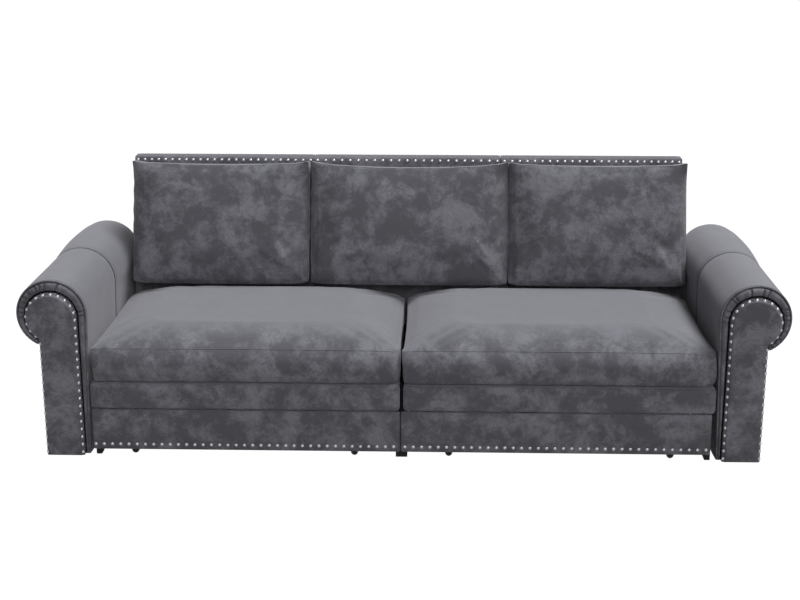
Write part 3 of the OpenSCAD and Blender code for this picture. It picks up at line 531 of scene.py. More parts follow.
strip = border_rows()
for word, side in SIDES.items():
    def place(i, j):
        inner, outer, loft, degrees, gathered = strip[j]
        across = i / ACROSS
        x, z = inner.lerp(outer, across)
        swell = math.sin(math.pi * min(max(across, 0), 1)) ** 0.42
        if gathered:
            loft *= pleat_height(word, degrees, across)
        y = panel_back_y + TUCK - TUCK * min(1, swell * 3) - loft * swell
        return Vector((side * x, y, z))

    border = wrapped(f"border_{word}", ACROSS, len(strip) - 1, place, caps=False)
    backing = border.modifiers.new("thickness", "SOLIDIFY")
    backing.thickness = 0.0015
    backing.offset = -1
    deselect_all()
    border.select_set(True)
    bpy.context.view_layer.objects.active = border
    bpy.ops.object.modifier_apply(modifier=backing.name)
    dress(border, "frame", "velvet", VELVET, f"arm_border_{word}")

# PIPING
# Cord in a bias strip of the same velvet, sewn into the edge of the front sleeve and, finer,
# into the seam between the two sleeves; the finer cord is painted dark, as painted shade.
PIPING_STEPS = 60
PIPING_END = -66
EDGE_LEAD = 0.002
SEAM_CORD_R = 0.0022
SEAM_INSET = 0.0012


def cord(name, points, radius, rings=4):
    """A round cord along the points, as a mesh."""
    curve = bpy.data.curves.new(name, "CURVE")
    curve.dimensions = "3D"
    curve.bevel_depth = radius
    curve.bevel_resolution = rings
    curve.use_fill_caps = True
    spline = curve.splines.new("POLY")
    spline.points.add(len(points) - 1)
    for p, at in zip(spline.points, points):
        p.co = (*at, 1)
    made = bpy.data.objects.new(name, curve)
    scene.collection.objects.link(made)
    deselect_all()
    made.select_set(True)
    bpy.context.view_layer.objects.active = made
    bpy.ops.object.convert(target="MESH")
    return bpy.context.object


def arm_cord(name, side, y, inset, low_z, radius):
    """Cord up the arm's inner side and round the roll."""
    reach = ROLL_R - inset
    centre = Vector((roll_x, roll_z))
    start = centre - reach * Vector((math.cos(LEAN), math.sin(LEAN)))
    foot = Vector((start.x + (start.y - low_z) * math.tan(LEAN), low_z))
    path = line(foot, start, PIPING_STEPS // 2)
    path += arc(centre, reach, math.pi + LEAN, math.radians(PIPING_END), PIPING_STEPS * 2)
    return cord(name, [(side * x, y, z) for x, z in path], radius)


# The finer cord between the sleeves is painted dark: painted shade for the groove of the seam
SEAM_SHADE_VELVET = crushed_velvet("velvet_painted_seam_shade", "#2c2c30", "#3c3c41", 0.4, 0.5)
seat_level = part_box("deck_pad_right")[1].z
for word, side in SIDES.items():
    edge = arm_cord(
        f"piping_edge_{word}", side, sleeve_y - EDGE_LEAD, WELT_R, foot_z + EDGE_LEAD, WELT_R)
    seam = arm_cord(f"piping_seam_{word}", side, seam_y, SEAM_INSET, seat_level, SEAM_CORD_R)
    dress(edge, "frame", "velvet", VELVET, f"arm_piping_{word}")
    # the seam cord's dark velvet is painted shade
    dress(seam, "frame", "velvet", SEAM_SHADE_VELVET, f"arm_piping_{word}")

# BACK SEGMENTS
# Three upholstered panels that stand behind the cushions: thin foam and velvet over a timber
# frame, with softly rounded edges, hooked over the rear rail and closed by a covered board.
SEGMENTS = ("left", "middle", "right")
BACK_EDGE = 0.009
BACK_ROWS = 44


def rounded(corners, radius, steps=5):
    """A closed outline through the corners, each rounded by a quarter or less of a circle."""
    points = []
    for k, corner in enumerate(corners):
        before, after = corners[k - 1], corners[(k + 1) % len(corners)]
        r = radius[k]
        a = (before - corner).normalized()
        b = (after - corner).normalized()
        reach = r / math.tan(a.angle(b) / 2) if r else 0
        first, last = corner + a * reach, corner + b * reach
        for i in range(steps + 1):
            t = i / steps
            points.append(first.lerp(corner, t).lerp(corner.lerp(last, t), t))
    return points


def evenly(points, gap):
    """The closed outline again, with no two points further apart than the gap."""
    out = []
    for a, b in zip(points, points[1:] + points[:1]):
        steps = max(1, math.ceil((b - a).length / gap))
        out += [a.lerp(b, i / steps) for i in range(steps)]
    return out


rail_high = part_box("rear_rail")[1]
back_low, back_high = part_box("back_pad_middle")
FACE_Y0, FACE_Y1 = 0.245, 0.390
hook_z = rail_high.z
lean_slope = (FACE_Y1 - FACE_Y0) / (back_high.z - hook_z)


def face_y(z):
    """The back's front face at a height."""
    return FACE_Y0 + (z - hook_z) * lean_slope


def back_section(inset):
    """Section of a back panel in Y and Z, drawn in by inset."""
    corners = [
        Vector((rail_high.y + inset, back_low.z + inset)),
        Vector((back_high.y - inset, back_low.z + inset)),
        Vector((back_high.y - inset, back_high.z - inset)),
        Vector((face_y(back_high.z - inset) + inset, back_high.z - inset)),
        Vector((face_y(hook_z + inset) + inset, hook_z + inset)),
        Vector((rail_high.y + inset, hook_z + inset))]
    return evenly(rounded(corners, [0.006, 0.006, 0.011, 0.011, 0.004, 0.0]), 0.03)


full = back_section(0)
# Both ends of a segment are rounded: at each place from the end its section draws in
end_places = [0, 0.0015, 0.0045, BACK_EDGE]
end_insets = [BACK_EDGE, 0.0045, 0.0014, 0]
end_rings = {inset: back_section(inset) for inset in end_insets}
for word in SEGMENTS:
    low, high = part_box(f"back_pad_{word}")
    width = high.x - low.x
    inner = [BACK_EDGE + (width - 2 * BACK_EDGE) * k / BACK_ROWS for k in range(1, BACK_ROWS)]
    offsets = end_places + inner + [width - s for s in reversed(end_places)]
    drawn = end_insets + [0] * len(inner) + end_insets[::-1]

    def place(i, j):
        """The ends draw in towards the section's own middle line."""
        ring = end_rings[drawn[j]]
        if len(ring) != len(full):
            ring = full
        y, z = ring[i % len(ring)]
        return Vector((low.x + offsets[j], y, z))

    pad = wrapped(f"back_{word}", len(full), len(offsets) - 1, place)
    dress(pad, "frame", "velvet", BACK_VELVET, f"back_pad_{word}")

# REAR BOARDS
# Thin boards covered in the same velvet that close the back segments behind, pressed in flush
# so that a fine shadow line shows all round.
BOARD_LINE = 0.0025
BOARD_T = 0.006
BOARD_SUNK = 0.0015
cover_low, cover_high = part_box("back_covers")
cover_margin = cover_low.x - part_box("back_pad_left")[0].x
for k, word in enumerate(SEGMENTS):
    low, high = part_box(f"back_pad_{word}")
    size = Vector((high.x - low.x - 2 * cover_margin, BOARD_T, cover_high.z - cover_low.z))
    middle = Vector(((low.x + high.x) / 2, cover_high.y - BOARD_SUNK,
                     (cover_low.z + cover_high.z) / 2))
    deselect_all()
    bpy.ops.mesh.primitive_cube_add(size=1, location=middle)
    board = bpy.context.object
    board.name = f"rear_board_{word}"
    board.scale = size
    bpy.ops.object.transform_apply(location=True, rotation=True, scale=True)
    bpy.ops.object.mode_set(mode="EDIT")
    bpy.ops.mesh.select_all(action="SELECT")
    bpy.ops.mesh.bevel(offset=BOARD_LINE, segments=3, affect="EDGES")
    bpy.ops.object.mode_set(mode="OBJECT")
    dress(board, "frame", "velvet", VELVET, *(["back_covers"] if k == 0 else []))

# SEAT DECK
# Velvet over foam on the slats: a flat top that the cushions lie on, and a soft band in front
# with rounded ends.
BAND_PUFF, BAND_SLACK = 0.004, 0.0016
BAND_END_R = 0.014
BAND_END_BACK, BAND_END_D = 0.006, 0.01
BAND_FACE = 0.010
DECK_PAD_T = 0.028
DECK_COLUMNS = 120

for word, side in SIDES.items():
    low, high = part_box(f"deck_pad_{word}")
    band_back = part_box(f"deck_frame_{word}")[0].y
    corners = [Vector((low.y, low.z)), Vector((low.y, high.z)), Vector((high.y, high.z)),
               Vector((high.y, high.z - DECK_PAD_T)), Vector((band_back, high.z - DECK_PAD_T)),
               Vector((band_back, low.z))]
    ring = evenly(rounded(corners, [0.007, 0.012, 0.004, 0.004, 0.0, 0.004]), 0.012)
    ends = [0, 0.0008, 0.0025, 0.005, 0.009, BAND_END_R]
    width = high.x - low.x
    inner = [BAND_END_R + (width - 2 * BAND_END_R) * k / DECK_COLUMNS
             for k in range(1, DECK_COLUMNS)]
    offsets = ends + inner + [width - e for e in reversed(ends)]

    def place(i, j):
        y, z = ring[i % len(ring)]
        along = offsets[j]
        from_end = min(along, width - along)
        drop = BAND_END_R - math.sqrt(BAND_END_R ** 2 - max(BAND_END_R - from_end, 0) ** 2)
        z = min(max(z, low.z + drop), high.z - drop)
        depth = min(from_end / BAND_END_D, 1)
        y = min(max(y, low.y + BAND_END_BACK * (1 - depth)), high.y)
        up = 2 * (z - low.z) / (high.z - low.z) - 1
        if y < low.y + BAND_FACE:
            slack = noise.noise(Vector((along * 9 + side * 5, z * 12, 0)))
            swell = BAND_PUFF * (1 - up ** 4) + BAND_SLACK * slack
            y -= swell * min(from_end / 0.03, 1)
            z += 0.0012 * noise.noise(Vector((along * 14, side * 3, 1))) * (up < -0.5)
        return Vector((low.x + along, y, z))

    deck = wrapped(f"deck_{word}", len(ring), len(offsets) - 1, place)
    dress(deck, "frame", "velvet", VELVET, f"deck_pad_{word}")

# Black dust cloth is stapled over the joint of the two deck frames in front, and a felt strip
# fills the joint between their pads on top; both are near-black, partly their own colour and
# partly painted shade for the dark gap between the bands.
STAPLED_W, STAPLED_T, STAPLED_H, STAPLED_Z = 0.030, 0.0008, 0.088, 0.2175
FELT_SUNK, FELT_SQUEEZE = 0.008, 0.006
band_low, band_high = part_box("deck_pad_right")
joint_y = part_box("deck_frame_right")[0].y - 0.0006
fill_low, fill_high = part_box("deck_slats_right")[1].z, band_high.z - FELT_SUNK
for name, middle, size in (
        ("front", (0, joint_y, STAPLED_Z), (STAPLED_W, STAPLED_T, STAPLED_H)),
        ("top", (0, (joint_y + band_high.y) / 2, (fill_low + fill_high) / 2),
         (2 * band_low.x + FELT_SQUEEZE, band_high.y - joint_y, fill_high - fill_low))):
    deselect_all()
    bpy.ops.mesh.primitive_cube_add(size=1, location=middle)
    joint_strip = bpy.context.object
    joint_strip.name = f"deck_joint_{name}"
    joint_strip.scale = size
    bpy.ops.object.transform_apply(location=True, rotation=True, scale=True)
    # near-black cloth that stands partly as painted shade in the gap
    dress(joint_strip, "frame", "velvet", SHADE_DUST_CLOTH)

# PULL-OUT FRONTS
# A board under thin foam and velvet that hides each pull-out bed section; the foam is pressed
# down along the nail row.
FRONT_PUFF, FRONT_SLACK = 0.003, 0.0009
FRONT_EDGE = 0.006
NAIL_VALLEY = 0.012
nail_z = (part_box("front_nails_left")[0].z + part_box("front_nails_left")[1].z) / 2


def padded_board(name, low, high, edge, cuts):
    """A box with bevelled edges, cut up finely enough to be shaped."""
    deselect_all()
    bpy.ops.mesh.primitive_cube_add(size=1, location=(low + high) / 2)
    made = bpy.context.object
    made.name = made.data.name = name
    made.scale = high - low
    bpy.ops.object.transform_apply(location=True, rotation=True, scale=True)
    bpy.ops.object.mode_set(mode="EDIT")
    bpy.ops.mesh.select_all(action="SELECT")
    bpy.ops.mesh.bevel(offset=edge, segments=4, affect="EDGES")
    bpy.ops.object.mode_set(mode="OBJECT")
    for axis, count in enumerate(cuts):
        span = (high[axis] - low[axis]) - 2 * edge
        normal = [0, 0, 0]
        normal[axis] = 1
        for k in range(1, count):
            spot = list((low + high) / 2)
            spot[axis] = low[axis] + edge + span * k / count
            bpy.ops.object.mode_set(mode="EDIT")
            bpy.ops.mesh.select_all(action="SELECT")
            bpy.ops.mesh.bisect(plane_co=spot, plane_no=normal)
            bpy.ops.object.mode_set(mode="OBJECT")
    return made


for word, side in SIDES.items():
    low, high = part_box(f"section_front_{word}")
    board = padded_board(f"front_{word}", low, high, FRONT_EDGE, (56, 1, 14))
    for v in board.data.vertices:
        if v.co.y < low.y + FRONT_EDGE:
            at_edge = min(v.co.x - low.x, high.x - v.co.x, v.co.z - low.z, high.z - v.co.z)
            swell = FRONT_PUFF * min(at_edge / 0.025, 1)
            swell *= 1 - math.exp(-((v.co.z - nail_z) / NAIL_VALLEY) ** 2)
            slack = FRONT_SLACK * noise.noise(Vector((v.co.x * 8, 2 * side, v.co.z * 10)))
            v.co.y -= max(swell + slack * min(at_edge / 0.02, 1), 0)
    body = f"section_{word}"
    dress(board, body, "velvet", VELVET, f"section_front_{word}")

# SEAT CUSHIONS
# Loose foam cushions in velvet covers with boxed sides. The cover is drawn tight at its seams
# and swells between them: a high crown on top, and fronts that roll under at the bottom.
SEAM_SHARE = 0.65  # height of the top seam as a share of the whole cushion's
SEAT_CROWN = 0.061
FRONT_SLOPE = 0.19
FRONT_BULGE = 0.016
SEAM_BACK = 0.014
SEAT_VOXEL = 0.009
SEAT_CAP = 0.009  # the pressure moves the cover less far than this
SEAT_MARGIN = 0.004
SEAT_LIFT = 0.001
DRAW_IN = 0.006
ROLL_UNDER = 0.004
LEFT_CORNER_R, RIGHT_CORNER_R = 0.008, 0.028
CORNER_FOLD = 0.007
PUCKER, PUCKER_Z, PUCKER_REACH = 0.0050, 0.022, 0.05
RESTING = 0.006  # the lowest part of the cover, which lies still on the deck
RIM_STEPS = 240


def shaped_block(name, cuts, place):
    """A finely cut block whose points are put by place(u, v, w), each from -1 to 1."""
    deselect_all()
    bpy.ops.mesh.primitive_cube_add(size=2)
    made = bpy.context.object
    made.name = made.data.name = name
    bpy.ops.object.mode_set(mode="EDIT")
    bpy.ops.mesh.select_all(action="SELECT")
    bpy.ops.mesh.subdivide(number_cuts=cuts)
    bpy.ops.object.mode_set(mode="OBJECT")
    for v in made.data.vertices:
        v.co = place(*v.co)
    return made


def square_rim(steps):
    """Points round a square from -1 to 1, as pairs."""
    corners = [(-1, -1), (1, -1), (1, 1), (-1, 1)]
    pairs = []
    for (a, b), (c, d) in zip(corners, corners[1:] + corners[:1]):
        pairs += [(a + (c - a) * k / steps, b + (d - b) * k / steps) for k in range(steps)]
    return pairs


def inflate(piece, voxel, pressure, cap, seams, fixed):
    """Remeshes a block evenly and pumps it up as cloth; it is held at its seams and where
    fixed(point) is true."""
    deselect_all()
    piece.select_set(True)
    bpy.context.view_layer.objects.active = piece
    piece.data.remesh_voxel_size = voxel
    bpy.ops.object.voxel_remesh()
    stitches = KDTree(len(seams))
    for k, at in enumerate(seams):
        stitches.insert(at, k)
    stitches.balance()
    held = piece.vertex_groups.new(name="seams")
    for v in piece.data.vertices:
        if fixed(v.co) or stitches.find(v.co)[2] < 0.75 * voxel:
            held.add([v.index], 1.0, "REPLACE")
    cloth = piece.modifiers.new("cover", "CLOTH")
    cloth.settings.quality = 4
    cloth.settings.tension_stiffness = 12
    cloth.settings.compression_stiffness = 12
    cloth.settings.bending_stiffness = 1.5
    cloth.settings.use_pressure = True
    cloth.settings.uniform_pressure_force = pressure
    cloth.settings.vertex_group_mass = "seams"
    cloth.settings.effector_weights.gravity = 0
    for step in range(1, 21):
        scene.frame_set(step)
    pumped = piece.evaluated_get(bpy.context.evaluated_depsgraph_get())
    moved = [v.co.copy() for v in pumped.data.vertices]
    piece.modifiers.remove(cloth)
    piece.vertex_groups.clear()
    for v, to in zip(piece.data.vertices, moved):
        way = to - v.co
        if way.length > 0:
            v.co += way.normalized() * cap * math.tanh(way.length / cap)
    scene.frame_set(1)
    even = piece.modifiers.new("even", "SMOOTH")
    even.factor = 0.5
    even.iterations = 3
    bpy.ops.object.modifier_apply(modifier=even.name)
    fine = piece.modifiers.new("fine", "SUBSURF")
    fine.levels = fine.render_levels = 1
    bpy.ops.object.modifier_apply(modifier=fine.name)


def on_cover(cover, points, lift):
    """The points, each set on the nearest place of a cover and lifted off it a little."""
    tree = BVHTree.FromObject(cover, bpy.context.evaluated_depsgraph_get())
    out = []
    for p in points:
        spot, normal, _, _ = tree.find_nearest(p)
        out.append(spot + normal * lift)
    return out


def twin(source, name, shift):
    """A copy of a piece, moved along X in its own mesh."""
    deselect_all()
    source.select_set(True)
    bpy.context.view_layer.objects.active = source
    bpy.ops.object.duplicate()
    made = bpy.context.object
    made.name = made.data.name = name
    for v in made.data.vertices:
        v.co.x += shift
    return made


def dome(t, power):
    return math.sqrt(max(1 - abs(t) ** power, 0))


seat_low, seat_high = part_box("seat_cushion_right")
seat_edge_z = seat_low.z + SEAM_SHARE * (seat_high.z - seat_low.z)
seat_middle = (seat_low + seat_high) / 2
seat_half = (seat_high - seat_low) / 2


def seat_place(u, v, w):
    """A point of the right seat cushion's block before it is pumped up."""
    level = (w + 1) / 2
    under = ROLL_UNDER * (1 - min(level / 0.3, 1)) ** 2
    half_x = seat_half.x - SEAT_MARGIN - DRAW_IN * (1 - v * v) - under
    corner = RIGHT_CORNER_R if u > 0 else LEFT_CORNER_R
    over = max(0, abs(u) * half_x - half_x + corner)
    cut = corner - math.sqrt(corner ** 2 - over ** 2)
    half_y = seat_half.y - SEAT_MARGIN - DRAW_IN * (1 - u * u) - under - cut
    z = seat_low.z + SEAT_LIFT + (seat_edge_z - seat_low.z - SEAT_LIFT) * level
    if w > 0:
        slope = max(0, 1 - (1 + v) * seat_half.y / FRONT_SLOPE) ** 3
        z += SEAT_CROWN * w * dome(u, 4 if u > 0 else 5) * (1 - slope if v < 0 else dome(v, 8))
    y = seat_middle.y + v * half_y
    if v < 0:
        y -= FRONT_BULGE * abs(v) ** 8 * math.sin(math.pi * level) * (1 - u ** 8)
        y += SEAM_BACK * abs(v) ** 8 * level ** 4
    x = seat_middle.x + u * half_x
    if u < 0 and v < 0:
        x -= CORNER_FOLD * (u * v) ** 16 * max(level - 0.4, 0) / 0.6
    return Vector((x, y, z))


seat = shaped_block("seat_cover_right", 30, seat_place)
rim = [seat_place(u, v, w) for u, v in square_rim(RIM_STEPS) for w in (-1, 1)]
rim += [seat_place(-1, -1, k / 20 - 1) for k in range(41)]
inflate(seat, SEAT_VOXEL, 4.0, SEAT_CAP, rim, lambda at: at.z < seat_low.z + RESTING)
for v in seat.data.vertices:
    to_front = v.co.y - seat_low.y
    if to_front < PUCKER_REACH and v.co.z < seat_edge_z:
        low_down = max(0, 1 - abs(v.co.z - seat_low.z - PUCKER_Z) / PUCKER_REACH)
        gather = noise.noise(Vector((v.co.x * 21, 0.3, v.co.z * 7)))
        gather += 0.6 * noise.noise(Vector((v.co.x * 47 + v.co.z * 20, 4.7, 0)))
        v.co.y += PUCKER * gather * low_down * max(0, 1 - to_front / PUCKER_REACH)
    v.co.x = min(max(v.co.x, seat_low.x - 0.002), seat_high.x + 0.001)
    v.co.y = min(v.co.y, seat_high.y + 0.002)
    v.co.z = min(max(v.co.z, seat_low.z), seat_high.z)

# The cords along the cushions' seams are painted a shade lighter: a painted highlight along the
# seams
SEAM_HIGHLIGHT_VELVET = crushed_velvet("velvet_seam_painted_highlight", "#6a6a70", "#85858c", 0.5, 0.72)
steps = [2 * k / RIM_STEPS - 1 for k in range(RIM_STEPS + 1)]
top_seam = [seat_place(u, -1, 1) for u in steps] + [seat_place(1, v, 1) for v in steps]
SEAM_RIDGE, SEAM_LIFT = 0.0010, 0.0006
ridge = cord("seat_seam_right", on_cover(seat, top_seam, SEAM_LIFT), SEAM_RIDGE, 2)
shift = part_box("seat_cushion_left")[0].x - seat_low.x
seat_twin = twin(seat, "seat_cover_left", shift)
ridge_twin = twin(ridge, "seat_seam_left", shift)
# The right cushion's front corner is pressed full against the arm, and has a little more room
# in front of the arm's piping
ARM_SQUEEZE = 0.014
ARM_CLEAR = 0.0020
ARM_CORNER_R = 0.012
PRESSED_D, FADING_D = 0.03, 0.07
SQUEEZE_REACH = 0.10
PIPING_ROOM, PIPING_LEAD = 0.006, 0.0075
FABRIC_GIVE = 0.004


def corner_cut(x, radius):
    """How far a corner of that radius draws back from the cushion's front at x."""
    over = min(max(x - seat_high.x + SEAT_MARGIN + radius, 0), radius)
    return radius - math.sqrt(radius ** 2 - over ** 2)


def beside_arm(at):
    """Where a point of the right cushion comes to lie beside the arm."""
    in_front = min(max(1 - (at.y - seat_low.y - PRESSED_D) / FADING_D, 0), 1)
    at_side = min(max(1 - (seat_high.x - at.x) / SQUEEZE_REACH, 0), 1)
    level = max((at.z - seat_low.z) / (seat_edge_z - seat_low.z), 0)
    fill = 0.65 + 0.35 * math.sin(math.pi * min(level, 1))
    fill *= min(max((1.4 - level) / 0.4, 0), 1) * in_front
    y = at.y - (corner_cut(at.x, RIGHT_CORNER_R) - corner_cut(at.x, ARM_CORNER_R)) * fill
    arm_x = roll_x - ROLL_R / math.cos(LEAN) + (roll_z - at.z) * math.tan(LEAN) - ARM_CLEAR
    arm_x += PIPING_ROOM * min(max((sleeve_y - PIPING_LEAD - y) / FABRIC_GIVE, 0), 1)
    room = arm_x - at.x - ARM_SQUEEZE * fill * at_side ** 2
    if room < FABRIC_GIVE and fill > 0:
        room = FABRIC_GIVE * math.exp(room / FABRIC_GIVE - 1)
    return Vector((arm_x - room, y, at.z))


for piece in (seat, ridge):
    for v in piece.data.vertices:
        v.co = beside_arm(v.co)
for word, cover, line_up in (("right", seat, ridge), ("left", seat_twin, ridge_twin)):
    body = f"seat_cushion_{word}"
    dress(cover, body, "velvet", VELVET, f"seat_cushion_{word}")
    # the seam cord carries the painted highlight
    dress(line_up, body, "velvet", SEAM_HIGHLIGHT_VELVET)

# BACK CUSHIONS
# Loose boxed cushions that stand on the seat and lean on the back. The front panel is crisp at
# its corners, where the seams end in small ears, and its top edge sags between them.
BACK_VOXEL = 0.0075
BACK_CAP = 0.010
BACK_MARGIN, BACK_LIFT = 0.004, 0.002
BACK_CLEAR = 0.0015
LEANING = 0.006  # the cover within this of the back's face lies still against it
TOP_T, BOTTOM_T = 0.108, 0.150
BACK_CROWN = 0.024
SIDE_ROUND, SIDE_BACK = 0.060, 0.047
FOOT_ROUND, FOOT_BACK = 0.065, 0.036
BACK_CORNER = 0.060
TOP_RISE = 0.021
EAR = 0.008
TOP_SAG = {"middle": 0.016, "right": 0.007}
SIDE_SAG = -0.003
HANG = 0.004
SIDE_PUCKER = 0.0030
CREASE_REACH = 0.07
BACK_SEAM_LIFT = 0.0002
# How far the left and right side of a cover lie to the right of the CAD cushion's
COVER_SHIFT = {"middle": (0.008, 0.014), "right": (0.008, 0.013)}
LEFT_TWIN_SHIFT = -0.0055


def round_off(from_edge, radius, depth):
    """How far a rounded edge draws back at a distance from the edge."""
    over = min(max(1 - from_edge / radius, 0), 1)
    return depth * (1 - math.sqrt(1 - over * over))


def back_place(low, high, sag, hang):
    """place(u, v, w) for a back cushion: v runs from the front panel, -1, to the flat rear."""
    middle_x = (low.x + high.x) / 2
    half_x = (high.x - low.x) / 2 - BACK_MARGIN
    bottom, rear_top = low.z + BACK_LIFT, high.z - TOP_RISE

    def place(u, v, w):
        depth, level = (1 - v) / 2, (w + 1) / 2
        ear = EAR * abs(u) ** 12 * level ** 12
        x = middle_x + u * (half_x - SIDE_SAG * (1 - w * w)) + math.copysign(0.1 * ear, u)
        z = bottom + (rear_top - bottom) * level
        y = face_y(z) - BACK_CLEAR - (BOTTOM_T + (TOP_T - BOTTOM_T) * level) * depth
        y -= BACK_CROWN * ((1 - u * u) * (1 - w * w)) ** 0.7 * max(-v, 0)
        side_back = round_off((1 - abs(u)) * half_x, SIDE_ROUND, SIDE_BACK) * (1 - level ** 10)
        foot_back = round_off(z - bottom, FOOT_ROUND, FOOT_BACK)
        y += (side_back + foot_back - side_back * foot_back / BACK_CORNER) * max(-v, 0)
        z += (TOP_RISE * depth - sag * (1 - u * u)) * level ** 3 + ear
        z -= hang * (1 - u * u) * (1 - level) ** 3
        return Vector((x, y, z))

    return place


for word in ("middle", "right"):
    low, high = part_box(f"back_cushion_{word}")
    low.x += COVER_SHIFT[word][0]
    high.x += COVER_SHIFT[word][1]
    place = back_place(low, high, TOP_SAG[word], HANG)
    cover = shaped_block(f"back_cover_{word}", 28, place)
    front_rim = [place(u, -1, w) for u, w in square_rim(RIM_STEPS // 2)]
    rear_rim = [place(u, 1, w) for u, w in square_rim(RIM_STEPS // 2)]
    inflate(cover, BACK_VOXEL, 3.0, BACK_CAP, front_rim + rear_rim,
            lambda at: face_y(at.z) - at.y < LEANING)
    for v in cover.data.vertices:
        to_left = v.co.x - low.x
        crease = noise.noise(Vector((to_left * 6, v.co.z * 38, 2.2)))
        reach = max(0, 1 - to_left / CREASE_REACH)
        v.co.y += SIDE_PUCKER * crease * reach ** 2
        if to_left < 0.012:
            v.co.x += 0.6 * SIDE_PUCKER * noise.noise(Vector((9.1, v.co.z * 30, 0)))
        v.co.z = max(v.co.z, low.z - HANG)
        v.co.y = min(v.co.y, face_y(v.co.z) - 0.0008)
    seam_points = on_cover(cover, front_rim + front_rim[:1], BACK_SEAM_LIFT)
    ridge = cord(f"back_seam_{word}", seam_points, SEAM_RIDGE, 2)
    pieces = [(word, cover, ridge)]
    if word == "right":
        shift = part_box("back_cushion_left")[0].x - low.x + COVER_SHIFT[word][0] + LEFT_TWIN_SHIFT
        pieces.append(("left", twin(cover, "back_cover_left", shift),
                       twin(ridge, "back_seam_left", shift)))
    for name, cloth_piece, line_up in pieces:
        body = f"back_cushion_{name}"
        dress(cloth_piece, body, "velvet", VELVET, body)
        dress(line_up, body, "velvet", VELVET)

# MATTRESSES
# Low foam mattresses in woven cotton ticking, piped round both edges, on the pull-out sections.
TICK_SCALE = 1 / 0.0016


def ticking():
    made = bpy.data.materials.new("cotton_ticking")
    made.use_nodes = True
    tree = made.node_tree
    tree.nodes.clear()
    at = add_node(tree, "ShaderNodeTexCoord").outputs["Object"]
    weave = add_node(tree, "ShaderNodeTexNoise", {
        "Vector": at, "Scale": TICK_SCALE, "Detail": 2.0})
    stain = add_node(tree, "ShaderNodeTexNoise", {"Vector": at, "Scale": 5.0, "Detail": 4.0})
    shade = add_node(tree, "ShaderNodeMixRGB", {
        "Fac": stain.outputs["Fac"], "Color1": colour("#cfcbc2"), "Color2": colour("#e0ddd6")})
    bump = add_node(tree, "ShaderNodeBump", {
        "Height": weave.outputs["Fac"], "Strength": 0.3, "Distance": 0.0004})
    cloth = add_node(tree, "ShaderNodeBsdfPrincipled", {
        "Base Color": shade.outputs["Color"], "Roughness": 0.9, "Specular IOR Level": 0.2,
        "Normal": bump.outputs["Normal"]})
    add_node(tree, "ShaderNodeOutputMaterial", {"Surface": cloth.outputs[0]})
    return made


TICKING = ticking()
MATTRESS_PUFF = 0.004
MATTRESS_EDGE = 0.011
WELT_INSET, MATTRESS_WELT_R = 0.009, 0.002
for word, side in SIDES.items():
    low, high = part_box(f"mattress_{word}")
    mattress = padded_board(f"mattress_cover_{word}", low, high, MATTRESS_EDGE, (24, 18, 2))
    for v in mattress.data.vertices:
        if v.co.z > high.z - 0.001:
            at_edge = min(v.co.x - low.x, high.x - v.co.x, v.co.y - low.y, high.y - v.co.y)
            v.co.z += MATTRESS_PUFF * (1 - math.exp(-max(at_edge - MATTRESS_EDGE, 0) / 0.03))
    body = f"section_{word}"
    dress(mattress, body, "ticking", TICKING, f"mattress_{word}")
    for level, at_z in (("top", high.z - WELT_INSET), ("bottom", low.z + WELT_INSET)):
        corners = [Vector((low.x, low.y)), Vector((high.x, low.y)), Vector((high.x, high.y)),
                   Vector((low.x, high.y))]
        loop = evenly(rounded(corners, [0.012] * 4), 0.05)
        loop.append(loop[0])
        welt = cord(f"mattress_welt_{level}_{word}", [(x, y, at_z) for x, y in loop],
                    MATTRESS_WELT_R, 2)
        dress(welt, body, "ticking", TICKING)

# TIMBER, LACQUER, NYLON AND METAL
# The CAD pieces that keep their own shape get the finish of the real material.


def timber_finish(name, low, high, ring_scale, rough):
    """Planed softwood: growth rings drawn out along the board, and fine pores."""
    made = bpy.data.materials.new(name)
    made.use_nodes = True
    tree = made.node_tree
    tree.nodes.clear()
    at = add_node(tree, "ShaderNodeTexCoord").outputs["Object"]
    drawn = add_node(tree, "ShaderNodeMapping", {"Vector": at, "Scale": (1.5, 12.0, 12.0)})
    rings = add_node(tree, "ShaderNodeTexWave", {
        "Vector": drawn.outputs[0], "Scale": ring_scale, "Distortion": 4.0, "Detail": 3.0,
        "Detail Scale": 1.2}, wave_type="BANDS", bands_direction="Z")
    pores = add_node(tree, "ShaderNodeTexNoise", {
        "Vector": drawn.outputs[0], "Scale": 40.0, "Detail": 4.0})
    both = add_node(tree, "ShaderNodeMath", {
        0: rings.outputs["Fac"], 1: pores.outputs["Fac"]}, operation="MULTIPLY")
    shade = add_node(tree, "ShaderNodeMixRGB", {
        "Fac": both.outputs[0], "Color1": colour(low), "Color2": colour(high)})
    bump = add_node(tree, "ShaderNodeBump", {
        "Height": pores.outputs["Fac"], "Strength": 0.15, "Distance": 0.0005})
    wood = add_node(tree, "ShaderNodeBsdfPrincipled", {
        "Base Color": shade.outputs["Color"], "Roughness": rough, "Normal": bump.outputs["Normal"]})
    add_node(tree, "ShaderNodeOutputMaterial", {"Surface": wood.outputs[0]})
    return made


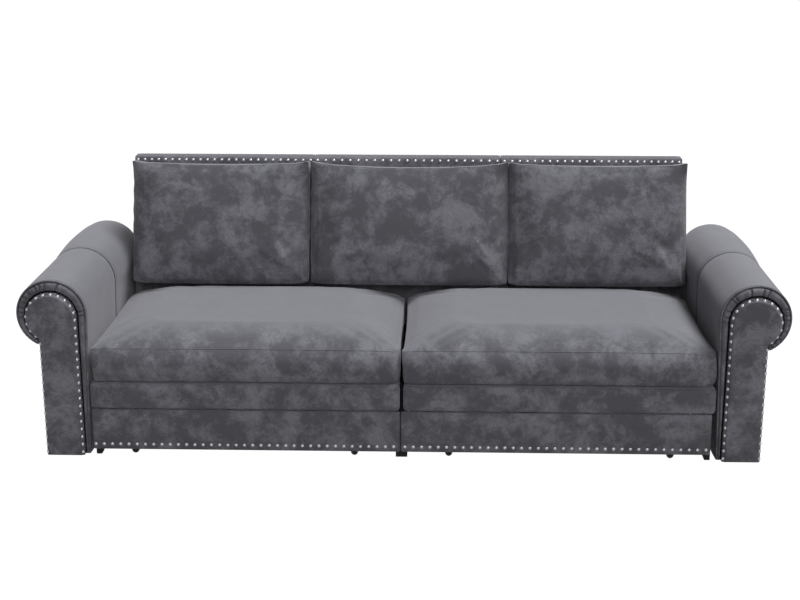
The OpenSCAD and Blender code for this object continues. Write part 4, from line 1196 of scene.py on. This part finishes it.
def hard_finish(name, low, high, scale, rough, metallic=0.0, gloss=0.5):
    """A paint, plastic or metal with faint uneven patches and a fine surface grain."""
    made = bpy.data.materials.new(name)
    made.use_nodes = True
    tree = made.node_tree
    tree.nodes.clear()
    at = add_node(tree, "ShaderNodeTexCoord").outputs["Object"]
    patch = add_node(tree, "ShaderNodeTexNoise", {"Vector": at, "Scale": scale, "Detail": 4.0})
    shade = add_node(tree, "ShaderNodeMixRGB", {
        "Fac": patch.outputs["Fac"], "Color1": colour(low), "Color2": colour(high)})
    dull = add_node(tree, "ShaderNodeMapRange", {
        "Value": patch.outputs["Fac"], "To Min": rough - 0.06, "To Max": rough + 0.06})
    bump = add_node(tree, "ShaderNodeBump", {
        "Height": patch.outputs["Fac"], "Strength": 0.2, "Distance": 0.0002})
    body = add_node(tree, "ShaderNodeBsdfPrincipled", {
        "Base Color": shade.outputs["Color"], "Roughness": dull.outputs["Result"],
        "Metallic": metallic, "Specular IOR Level": gloss, "Normal": bump.outputs["Normal"]})
    add_node(tree, "ShaderNodeOutputMaterial", {"Surface": body.outputs[0]})
    return made


PINE = timber_finish("planed_pine", "#a9824f", "#d2ab72", 1.4, 0.6)
BIRCH = timber_finish("birch_slat", "#bb9a63", "#dcc190", 2.2, 0.5)
LACQUER = hard_finish("black_satin_lacquer", "#08080a", "#101012", 60, 0.55, gloss=0.15)
NYLON = hard_finish("moulded_black_nylon", "#09090a", "#111112", 300, 0.6, gloss=0.15)
NICKEL = hard_finish("brushed_nickel_plate", "#8c8c90", "#a9a9ad", 900, 0.42, 1.0)
BLACK_STEEL = hard_finish("blackened_steel", "#2c2d2f", "#3c3d40", 200, 0.45, 0.9)
ZINC = hard_finish("zinc_plated_steel", "#a2a4a8", "#c0c2c5", 250, 0.35, 1.0)
FINISHES = {"timber": PINE, "slat_wood": BIRCH, "black_wood": LACQUER, "black_plastic": NYLON,
            "nickel": NICKEL, "fork_steel": BLACK_STEEL, "bolt_steel": ZINC}
for subpart in frame["record"]["subparts"]:
    if subpart["material_slot"] in FINISHES:
        kept = frame["nodes"][subpart["node"]]
        kept.data.materials.clear()
        kept.data.materials.append(FINISHES[subpart["material_slot"]])

# SIZE
# The dressed model's box.
low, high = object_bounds()
